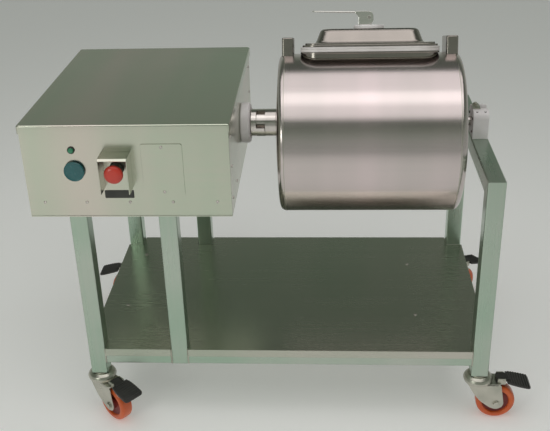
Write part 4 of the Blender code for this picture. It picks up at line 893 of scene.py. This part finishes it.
def buildLugs():
    # a round-edged box whose foot follows the drum's skin
    halfX, halfY, corner = drum["lug"]
    top, soft = drum["lugTop"], 0.003
    for side, x in (("left", -drum["lugAt"]), ("right", drum["lugAt"])):
        t = np.linspace(0, math.pi / 2, 5)
        rings = []
        foot = roundRect(halfX, halfY, corner, 8)
        foot = np.concatenate([foot, skinLevel(foot[:, :1] + x, foot[:, 1:], drum["radius"]) + 0.0004], -1)
        rings.append(foot)
        for inset, drop in zip(soft * (1 - np.cos(t)), soft * (1 - np.sin(t))):
            ring = roundRect(halfX - inset, halfY - inset, corner - inset * 0.5, 8)
            rings.append(np.concatenate([ring, np.full((len(ring), 1), top - drop)], -1))
        shape = loftShape(np.stack(rings) + [x, 0, 0])
        addPiece(f"{side}_lug_box", moved(shape, drumFrame), finish["lid"], "drum", [f"{side}_lug"])


finish["head"] = steel("headSheet", *steelLook["drum"], (60, 60, 60), (5, 5, 5), 0.05)
addPiece("drum_shell", buildBarrel(), finish["drum"], "drum", ["drum_barrel"], flatFirst=False)
addPiece("port_neck", buildNeck(), finish["lid"], "drum")
buildNeckWeld()
buildHeads()
buildSeams()
buildPaddles()
buildLugs()
print("drum built")


# lid, seals and the clamp over it

lid = {
    "low": 0.1680, "flange": (0.147, 0.077, 0.030), "panLow": (0.118, 0.056, 0.028), "panHigh": (0.106, 0.044, 0.020),
    "panFoot": 0.1763, "panTop": 0.2068, "sheet": 0.002, "plug": (0.1415, 0.0585, 0.026), "skirt": 0.016,
    "washerLow": 0.2071, "washerHigh": 0.2149, "washer": 0.0335, "pin": 0.231, "plateTop": 0.1414,
}


def ringChain(chain, cut=0.0012, steps=4, closed=True):
    # (halfA, halfB, corner, level) rows with their own corners rounded, each row then drawn as a ring
    soft = softCorners(chain, cut, steps, closed)
    return np.stack([np.concatenate([sideRing(a, b, c), np.full((152, 1), z)], -1) for a, b, c, z in soft])


def buildLid():
    # round-cornered rings: across the pan's top, down its slope, over the flange, and back underneath
    p = lid
    fa, fb, fc = p["flange"]
    step, foot, top, t = 0.00415, p["panFoot"], p["panTop"], p["sheet"]
    ha, hb, hc = p["panHigh"]
    la, lb, lc = p["panLow"]
    pa, pb, pc = p["plug"]
    chain = [(0.0064, 0.0064, 0.0060, top), (ha - 0.004, hb - 0.004, hc, top),
             (ha + 0.002, hb + 0.002, hc + 0.004, top - 0.004),
             (la, lb, lc, foot), (fa - 0.006, fb - 0.006, fc - 0.006, foot),
             (fa - 0.006, fb - 0.006, fc - 0.006, foot - step),
             (fa, fb, fc, foot - step), (fa, fb, fc, p["low"]), (pa, pb, pc, p["low"]),
             (pa, pb, pc, p["low"] - p["skirt"]),
             (pa - t, pb - t, pc - t, p["low"] - p["skirt"]), (pa - t, pb - t, pc - t, foot - t),
             (la - t, lb - t, lc - t, foot - t),
             (ha - 0.0005, hb - 0.0005, hc, top - 0.004 - t), (ha - 0.006, hb - 0.006, hc - 0.004, top - t),
             (0.0064, 0.0064, 0.0060, top - t)]
    cut = [0.0003, 0.004, 0.004, 0.006, 0.001, 0.001, 0.001, 0.001, 0.001, 0.0006, 0.0006, 0.001, 0.004, 0.002,
           0.002, 0.0003]
    shape = loftShape(ringChain(chain, cut, 6), closed=True)
    addPiece("lid_pressing", moved(shape, drumFrame), finish["lid"], "lid", ["lid"], sharp=50)


def buildSeals():
    # round-cornered rings for the gasket and the plug ring, and a turned profile for the washer
    p, rim = lid, drum["rim"]
    low, high = drum["rimTop"] + 0.0003, p["low"] - 0.0003
    mid = (low + high) / 2
    pa, pb, pc = (v + 0.0015 for v in p["plug"])
    chain = [(rim[0], rim[1], rim[2], low), (rim[0], rim[1], rim[2], mid - 0.0008),
             (rim[0] - 0.0012, rim[1] - 0.0012, rim[2], mid),
             (rim[0], rim[1], rim[2], mid + 0.0008), (rim[0], rim[1], rim[2], high), (pa, pb, pc, high),
             (pa, pb, pc, low)]
    shape = loftShape(ringChain(chain, 0.0009, 4), closed=True)
    addPiece("lid_gasket", moved(shape, drumFrame), finish["nylon"], "lid", ["gasket"], sharp=50)
    a, b, c = (v + 0.0006 for v in p["plug"])
    top = p["low"] - p["skirt"] - 0.0003
    chain = [(a, b, c, top), (a, b, c, top - 0.010), (a - 0.0106, b - 0.0106, 0.016, top - 0.010),
             (a - 0.0106, b - 0.0106, 0.016, top)]
    shape = loftShape(ringChain(chain, 0.0025, 5), closed=True)
    addPiece("expanding_ring", moved(shape, drumFrame), finish["rubber"], "lid", ["plug_ring"],
             sharp=50)
    r, low, high = p["washer"], p["washerLow"], p["washerHigh"]
    profile = softCorners([(0.0064, low), (r - 0.0006, low), (r, low + 0.0006), (r, high - 0.0014),
                           (r - 0.0014, high),
                           (0.0074, high), (0.0064, high - 0.001)], 0.0006, 4)
    shape = loftShape(turnedRings(profile, 128), closed=True)
    addPiece("nylon_cam_washer", moved(shape, drumFrame), finish["white"], "lid", ["cam_washer"])


def buildTieBolt():
    # a plate and a nut as rounded prisms, with a turned rod, eye and cross pin
    p = lid
    a, b = p["plug"][:2]
    t = p["plateTop"]
    plate = loftShape(ringChain([(a - 0.002, b - 0.002, 0.022, t - 0.003), (a - 0.002, b - 0.002, 0.022, t)], 0.0,
                                2, False))
    rod = turnedRings([(0.006, t - 0.001), (0.006, p["pin"] - 0.004)], 40)
    eye = turnedRings(softCorners([(0.0, -0.006), (0.0085, -0.006), (0.0085, 0.006), (0.0, 0.006)], 0.0008, 3,
                                  False), 48)
    pin = turnedRings(softCorners([(0.0, -0.0136), (0.0040, -0.0136), (0.0040, 0.0136), (0.0, 0.0136)], 0.0008, 3,
                                  False), 32)
    nut = roundRect(0.010, 0.010, 0.003, 4)
    nut = prismRings(nut, t - 0.010, t - 0.0028, 0.0008)
    at = (0, 0, p["pin"])
    shape = joinShapes([plate, loftShape(rod), loftShape(nut), loftShape(orient(eye, "y", at)),
                        loftShape(orient(pin, "y", at))])
    addPiece("tie_bolt_assembly", moved(shape, drumFrame), finish["bar"], "tie_bolt", ["tie_bolt"])


lever = {"length": 0.127, "width": 0.026, "headLeft": 0.023, "headTop": 0.0142, "rise": 0.0024, "root": 0.0045,
         "tip": 0.0026,
         "lift": 0.0158, "fall": 0.0038197, "slot": 0.0063}


def camOutline():
    # the cam's height over its seat falls in step with the lever's turn
    p = lever
    angle = np.linspace(0, math.radians(96), 22)
    lift = p["lift"] - p["fall"] * angle
    cam = np.stack([lift * np.sin(angle) - p["fall"] * np.cos(angle),
                    -lift * np.cos(angle) - p["fall"] * np.sin(angle)], -1)
    top = softCorners([cam[-1], (0.0092, 0.006), (0.0055, 0.0122), (-0.002, p["headTop"]),
                       (-p["headLeft"] - 0.008, p["headTop"] + 0.0001),
                       (-p["headLeft"] - 0.008, p["headTop"] - 0.004), (-p["headLeft"],
                                                                        p["headTop"] - 0.013),
                                                                        (-p["headLeft"], -p["lift"] + 0.0001),
                       (-0.012, -p["lift"])], 0.0022, 5, closed=False)
    return np.concatenate([cam, top[1:]])


def buildLever():
    # two cam cheeks and a web; the arm's middle rises with the 1.5 power of its share and its tip narrows
    p = lever
    half, at = p["width"] / 2, (0, 0, lid["pin"])
    outline = camOutline()
    shapes = []
    for a, b in ((-half, -p["slot"]), (p["slot"], half)):
        shapes.append(loftShape(orient(prismRings(outline, a, b, 0.0009, 3), "y", at)))
    web = block((-p["headLeft"] + 0.0006, -p["slot"] - 0.001, -p["lift"] + 0.0010),
                (-0.0128, p["slot"] + 0.001, p["headTop"] - 0.0006), 0.0006)
    shapes.append((web[0] + at, web[1]))
    share = np.linspace(0, 1, 40)
    x = -0.013 - (p["length"] - 0.013) * share
    middle = p["headTop"] - p["root"] / 2 + p["rise"] * share ** 1.5 + 0.0006 * share
    thick = p["root"] + (p["tip"] - p["root"]) * share
    over = np.clip((share - 0.90) / 0.10, 0, 1)
    wide = half * (0.94 + 0.06 * share) * np.sqrt(np.maximum(1 - over ** 2 * 0.55, 0.0)) - 0.004 * over ** 4
    thin = np.where(share > 0.985, 0.6, 1.0) * thick / 2
    rings = []
    for k in range(len(share)):
        ring = roundRect(wide[k], thin[k], thin[k] * 0.85, 6)
        rings.append(np.stack([np.full(len(ring), x[k]), ring[:, 0], ring[:, 1] + middle[k]], -1))
    arm = loftShape(np.stack(rings))
    shapes.append((arm[0] + at, arm[1]))
    addPiece("clamp_lever", moved(joinShapes(shapes), drumFrame), finish["lever"], "lever", ["lever"],
             sharp=40)


buildLid()
buildSeals()
buildTieBolt()
buildLever()
print("lid and clamp built")


# shafts and the jaw coupling

coupling = {"radius": 0.0312, "inner": 0.0165, "dog": math.radians(33), "count": 3, "first": math.radians(82),
            "driveStart": -0.0819, "sleeve": 0.0132, "dogLength": 0.0195, "drivenStart": -0.0233,
            "drivenSleeve": 0.0259}


def couplingHalf(start, sleeve, way, phase, hub):
    # a chamfered ring with three sector-shaped dogs that point along the shaft
    c = coupling
    r, far = c["radius"], start + way * sleeve
    profile = softCorners([(0.0, start), (r - 0.0008, start), (r, start + way * 0.0008), (r, far - way * 0.0006),
                           (r - 0.0006, far), (hub, far),
                           (hub, far - way * 0.003), (0.0, far - way * 0.003)], 0.0004, 3, closed=False)
    shapes = [loftShape(orient(turnedRings(profile, 96), "x"))]
    for number in range(c["count"]):
        middle = c["first"] + phase + 2 * math.pi * number / c["count"]
        angle = np.linspace(middle - c["dog"] / 2, middle + c["dog"] / 2, 12)
        ring = np.concatenate([np.stack([r * np.cos(angle), r * np.sin(angle)], -1),
                               np.stack([c["inner"] * np.cos(angle), c["inner"] * np.sin(angle)], -1)[::-1]])
        ends = sorted((far - way * 0.002, far + way * (c["dogLength"] - 0.0003)))
        shapes.append(loftShape(orient(prismRings(ring, ends[0], ends[1], 0.0007, 3), "x")))
    return joinShapes(shapes)


def buildShafts():
    # turned profiles for the free end and the seal disc, with the two coupling halves
    c = coupling
    half = couplingHalf(c["driveStart"], c["sleeve"], 1, 0, 0.0128)
    addPiece("drive_dog_half", (half[0] + [0, 0, axis["z"]], half[1]), finish["bar"], "drive_shaft",
             ["drive_coupling"])
    half = couplingHalf(c["drivenStart"], c["drivenSleeve"], -1, math.pi / 3 + axis["tilt"], 0.0128)
    half = (half[0] - [axis["drumX"], 0, 0], half[1])
    addPiece("driven_dog_half", moved(half, drumFrame), finish["bar"], "drum", ["driven_coupling"])
    start, end = drum["end"] + 0.0003, bearing["x"] + bearing["width"] / 2 - 0.002 - axis["drumX"]
    profile = softCorners([(0.0, start), (0.030, start), (0.030, start + 0.008), (0.0125, start + 0.008),
                           (0.010, start + 0.010),
                           (0.010, end - 0.0015), (0.0085, end), (0.0, end)], 0.0008, 4, closed=False)
    shape = loftShape(orient(turnedRings(profile, 96), "x"))
    addPiece("free_end_shaft", moved(shape, drumFrame), finish["bar"], "drum", ["idle_shaft"])
    low, high, r = casing["right"] + 0.0003, casing["right"] + 0.0228, 0.046
    profile = softCorners([(0.0127, low), (r - 0.003, low), (r, low + 0.003), (r, high - 0.004), (r - 0.004, high),
                           (0.034, high), (0.033, high - 0.0014),
                           (0.020, high - 0.0014), (0.019, high), (0.0127, high)], 0.0005, 3)
    shape = loftShape(orient(turnedRings(profile, 128), "x", (0, 0, axis["z"])), closed=True)
    addPiece("shaft_seal_disc", shape, finish["white"], "frame", ["seal_disc"])
    at = [(0.0389 * math.cos(k), 0.0389 * math.sin(k)) for k in (0.5, 2.07, 3.64, 5.21)]
    heads = [screwHead((high - 0.0002, y, axis["z"] + z), "x", 0.0030) for y, z in at]
    addPiece("seal_screws", joinShapes(heads), finish["bar"], "frame")


buildShafts()
for node, look in (("drive_shaft", "bar"), ("gearbox", "cast"), ("motor", "motor"), ("motor_fan", "black")):
    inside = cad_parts[node]
    for index in range(max(1, len(inside.data.materials))):
        if index < len(inside.material_slots):
            inside.material_slots[index].material = finish[look]
        else:
            inside.data.materials.append(finish[look])
print("shafts built")


# four braked casters, each made once and moved into place

caster = {
    "footZ": 0.118, "wheel": 0.044, "width": 0.032, "trail": 0.042, "sheet": 0.0025, "gap": 0.003, "axle": 0.004,
    "pivotX": 0.056, "pivotZ": -0.015, "tread": (0.060, 0.050, 0.010), "slope": math.radians(12), "arm": 0.024,
    "places": {"front_left": (-0.433, -0.248, -40), "rear_left": (-0.433, 0.248, 180),
               "front_right": (0.433, -0.248, 0), "rear_right": (0.433, 0.248, 40)},
}


def forkShape():
    # a turned head, a rounded crown, two cheeks of one outline, and turned nuts and pins
    c = caster
    head = softCorners([(0.0, 0.028), (0.006, 0.028), (0.006, -0.003), (0.024, -0.003), (0.030, -0.008),
                        (0.033, -0.014), (0.031, -0.0215),
                        (0.0, -0.0215)], 0.0014, 4, closed=False)
    cheekIn = c["width"] / 2 + c["gap"]
    cheekOut, axleZ, trail = cheekIn + c["sheet"], c["wheel"] - c["footZ"], c["trail"]
    outline = softCorners([(-0.024, -0.0215), (-0.012, -0.044), (0.004, -0.066), (trail - 0.014, axleZ - 0.011),
                           (trail, axleZ - 0.016),
                           (trail + 0.013, axleZ - 0.010), (trail + 0.017, axleZ), (trail + 0.012, -0.046),
                           (0.050, -0.0215)], 0.006, 5)
    crown = prismRings(roundRect(0.037, cheekOut, 0.006, 5) + [0.013, 0], -0.0250, -0.0206, 0.0008)
    shapes = [loftShape(turnedRings(head, 72)), loftShape(crown)]
    race = softCorners([(0.0, -0.0005), (0.020, -0.0005), (0.020, -0.0032), (0.0, -0.0032)], 0.0008, 3, closed=False)
    shapes.append(loftShape(turnedRings(race, 48)))
    for a, b in ((cheekIn, cheekOut), (-cheekOut, -cheekIn)):
        shapes.append(loftShape(orient(prismRings(outline, a, b, 0.0007), "y")))
    for way in (-1, 1):
        washer = softCorners([(0.0, 0.0), (0.0085, 0.0), (0.0085, 0.0014), (0.0, 0.0014)], 0.0004, 3, closed=False)
        shapes.append(loftShape(orient(turnedRings(washer, 40) * [1, 1, way], "y", (trail, way * cheekOut, axleZ))))
        nut = softCorners([(0.0, 0.0012), (0.0072, 0.0012), (0.0072, 0.0040), (0.0, 0.0040)], 0.0008, 3, closed=False)
        shapes.append(loftShape(orient(turnedRings(nut, 6) * [1, 1, way], "y", (trail, way * cheekOut, axleZ))))
        earIn, top = c["arm"] / 2 + 0.0003, c["pivotZ"] + 0.005
        ends = sorted((way * earIn, way * (earIn + 0.003)))
        shapes.append(block((c["pivotX"] - 0.014, ends[0], -0.0245), (c["pivotX"] + 0.005, ends[1], top), 0.0006,
                            "y", 0.003, 5))
    axle = turnedRings([(c["axle"], -cheekOut - 0.003), (c["axle"], cheekOut + 0.003)], 24)
    shapes.append(loftShape(orient(axle, "y", (trail, 0, axleZ))))
    pin = turnedRings([(0.002, -0.0163), (0.002, 0.0163)], 20)
    shapes.append(loftShape(orient(pin, "y", (c["pivotX"], 0, c["pivotZ"]))))
    return joinShapes(shapes)


def wheelShapes():
    # two turned profiles, the tyre and the hub, about the axle
    c = caster
    half, r = c["width"] / 2, c["wheel"]
    at = (c["trail"], 0, r - c["footZ"])
    tyre = softCorners([(r - 0.0150, half - 0.0050), (r - 0.0125, half - 0.0006), (r - 0.0052, half - 0.0010),
                        (r - 0.0006, half - 0.0048),
                        (r, 0.0), (r - 0.0006, -half + 0.0048), (r - 0.0052, -half + 0.0010),
                        (r - 0.0125, -half + 0.0006),
                        (r - 0.0150, -half + 0.0050)], 0.0028, 5)
    hub = [(0.0042, half), (0.0115, half), (0.0130, half - 0.0020), (0.0140, half - 0.0060), (0.0250, half - 0.0072),
           (r - 0.0148, half - 0.0052)]
    hub = softCorners(hub + [(a, -b) for a, b in hub[::-1]], 0.0009, 4)
    return (loftShape(orient(turnedRings(tyre, 96), "y", at), closed=True),
            loftShape(orient(turnedRings(hub, 80), "y", at), closed=True))


def pedalShape():
    # a wedge-shaped tread with nine raised ribs across it, on a narrow arm over the pin
    c = caster
    length, wide, thick = c["tread"]
    half, start, slope = wide / 2, 0.0075, math.tan(c["slope"])
    share = np.linspace(0, 1, 46)
    x = start + (length - start) * share
    ribs = 0.0011 * np.clip(np.sin(share * 9 * 2 * math.pi - 0.8) * 2.5, 0, 1) * (share > 0.10) * (share < 0.94)
    top = thick * 0.3 - length * slope * share ** 1.05 - 0.0011 + ribs - 0.002 * np.clip((share - 0.92) / 0.08, 0,
    1) ** 2
    low = -thick * 0.4 - length * slope * share + thick * 0.12 * np.clip((share - 0.75) / 0.25, 0, 1)
    over = np.clip((share - 0.88) / 0.12, 0, 1)
    width = half - 0.007 * (1 - np.sqrt(1 - over ** 2 * 0.98)) - 0.004 * (1 - share) ** 4
    rings = []
    for k in range(len(share)):
        ring = roundRect(width[k], (top[k] - low[k]) / 2, 0.0016, 5)
        rings.append(np.stack([np.full(len(ring), x[k]), ring[:, 0], ring[:, 1] + (top[k] + low[k]) / 2], -1))
    tread = loftShape(np.stack(rings))
    arm = block((-0.016, -c["arm"] / 2, -thick * 0.4), (start + 0.006, c["arm"] / 2, thick * 0.35), 0.0012, "y",
                0.003, 5)
    shape = joinShapes([tread, arm])
    return shape[0] + [c["pivotX"], 0, c["pivotZ"]], shape[1]


def buildCasters():
    # one set of shapes, carried to each corner
    for name, (x, y, yaw) in caster["places"].items():
        place = Matrix.Translation((x, y, caster["footZ"])) @ Matrix.Rotation(math.radians(yaw), 4, "Z")
        addPiece(f"{name}_fork_pressing", moved(forkShape(), place), finish["plated"], f"{name}_fork",
                 [f"{name}_fork"])
        tyre, hub = wheelShapes()
        addPiece(f"{name}_tyre", moved(tyre, place), finish["tyre"], f"{name}_wheel", [f"{name}_wheel"])
        addPiece(f"{name}_hub", moved(hub, place), finish["hub"], f"{name}_wheel")
        addPiece(f"{name}_pedal_cover", moved(pedalShape(), place), finish["black"], f"{name}_pedal",
                 [f"{name}_pedal"], sharp=50)


buildCasters()
print("casters built")


# room, light and camera

# sky holds how high each colour lies, from the horizon at 0 to straight up at 1
room = {
    "floor": (0.80, 0.80, 0.79), "floorGlow": 0.22, "reach": 9.0,
    "sky": [(0.0, (0.34, 0.36, 0.33)), (0.22, (0.30, 0.33, 0.29)), (0.36, (0.20, 0.23, 0.19)),
            (0.55, (0.10, 0.12, 0.095)), (1.0, (0.06, 0.07, 0.06))],
}
# turned holds the yaw, pitch and roll in degrees; lens and sensor are in millimetres
view = {
    "at": (0.0870, -1.9207, 1.3578), "turned": (-4.284, 26.697, -2.012), "lens": 58.44, "sensor": 36.0,
    "shift": (0.0174, 0.0004), "far": 50,
}


# each lamp: where it stands, what it points at, its two sides, its power and its colour
lamps = {
    "overheadBox": ((0.1, -0.80, 2.6), (0.1, -0.80, 0.0), (3.4, 3.3), 34, (1.0, 0.97, 0.965)),
    "brightStrip": ((0.15, -0.72, 2.4), (0.15, -0.35, 0.6), (2.6, 0.60), 3, (1.0, 0.97, 0.96)),
    "leftFloorLight": ((-1.6, -2.3, 1.3), (-1.25, -1.6, 0.0), (0.8, 0.8), 9, (0.96, 1.0, 0.93)),
}


def buildFloor():
    # one wide flat sheet
    reach = room["reach"]
    points = np.array([(-reach, -reach, 0.0), (reach, -reach, 0.0), (reach, reach, 0.0), (-reach, reach, 0.0)])
    mesh = bpy.data.meshes.new("studioFloor")
    mesh.from_pydata((points - [0, 0, 0.0002]).tolist(), [], [(0, 1, 2, 3)])
    made, _, _, shader = startMaterial("paleFloor")
    shader.inputs["Base Color"].default_value = (*room["floor"], 1)
    shader.inputs["Roughness"].default_value = 0.7
    shader.inputs["Specular IOR Level"].default_value = 0.2
    shader.inputs["Emission Color"].default_value = (1.0, 1.0, 0.98, 1)
    shader.inputs["Emission Strength"].default_value = room["floorGlow"]
    mesh.materials.append(made)
    floor = bpy.data.objects.new("studioFloor", mesh)
    scene.collection.objects.link(floor)


def addSoftbox(name, at, towards, size, power, colour):
    # a rectangular area lamp turned to face a point
    lamp = bpy.data.lights.new(name, "AREA")
    lamp.shape = "RECTANGLE"
    lamp.size, lamp.size_y = size
    lamp.energy = power
    lamp.color = colour
    made = bpy.data.objects.new(name, lamp)
    turn = (Vector(at) - Vector(towards)).to_track_quat("Z", "Y").to_matrix().to_4x4()
    made.matrix_world = Matrix.Translation(at) @ turn
    scene.collection.objects.link(made)


def buildCamera():
    # the camera's place, its yaw, pitch and roll, and its lens
    yaw, pitch, roll = (math.radians(angle) for angle in view["turned"])
    ahead = np.array([math.sin(yaw) * math.cos(pitch), math.cos(yaw) * math.cos(pitch), -math.sin(pitch)])
    right = np.array([math.cos(yaw), -math.sin(yaw), 0.0])
    up = np.cross(right, ahead)
    across = math.cos(roll) * right + math.sin(roll) * up
    upright = -math.sin(roll) * right + math.cos(roll) * up
    lens = bpy.data.cameras.new("studioCamera")
    lens.lens, lens.sensor_width, lens.sensor_fit = view["lens"], view["sensor"], "HORIZONTAL"
    lens.shift_x, lens.shift_y = view["shift"]
    lens.clip_end = view["far"]
    made = bpy.data.objects.new("studioCamera", lens)
    matrix = Matrix.Identity(4)
    for column, vector in enumerate((across, upright, -ahead, view["at"])):
        for row in range(3):
            matrix[row][column] = float(vector[row])
    made.matrix_world = matrix
    scene.collection.objects.link(made)
    scene.camera = made


def buildWorld():
    # brightness falls from the horizon upwards, so that low reflections are light and steep ones dark
    world = bpy.data.worlds.new("studioWorld")
    world.use_nodes = True
    nodes, links = world.node_tree.nodes, world.node_tree.links
    where = nodes.new("ShaderNodeTexCoord")
    apart = nodes.new("ShaderNodeSeparateXYZ")
    ramp = nodes.new("ShaderNodeValToRGB")
    links.new(where.outputs["Generated"], apart.inputs["Vector"])
    links.new(apart.outputs["Z"], ramp.inputs["Fac"])
    links.new(ramp.outputs["Color"], nodes["Background"].inputs["Color"])
    stops = room["sky"]
    ramp.color_ramp.elements[0].position, ramp.color_ramp.elements[1].position = stops[0][0], stops[-1][0]
    for place, colour in stops[1:-1]:
        ramp.color_ramp.elements.new(place)
    for element, (place, colour) in zip(ramp.color_ramp.elements, stops):
        element.color = (*colour, 1)
    scene.world = world


def buildLight():
    # the sky and the lamps, seen with a plain view transform
    buildWorld()
    scene.view_settings.view_transform = "Standard"
    for name, (at, towards, size, power, colour) in lamps.items():
        addSoftbox(name, at, towards, size, power, colour)


buildFloor()
buildLight()
buildCamera()
print("room, light and camera set")
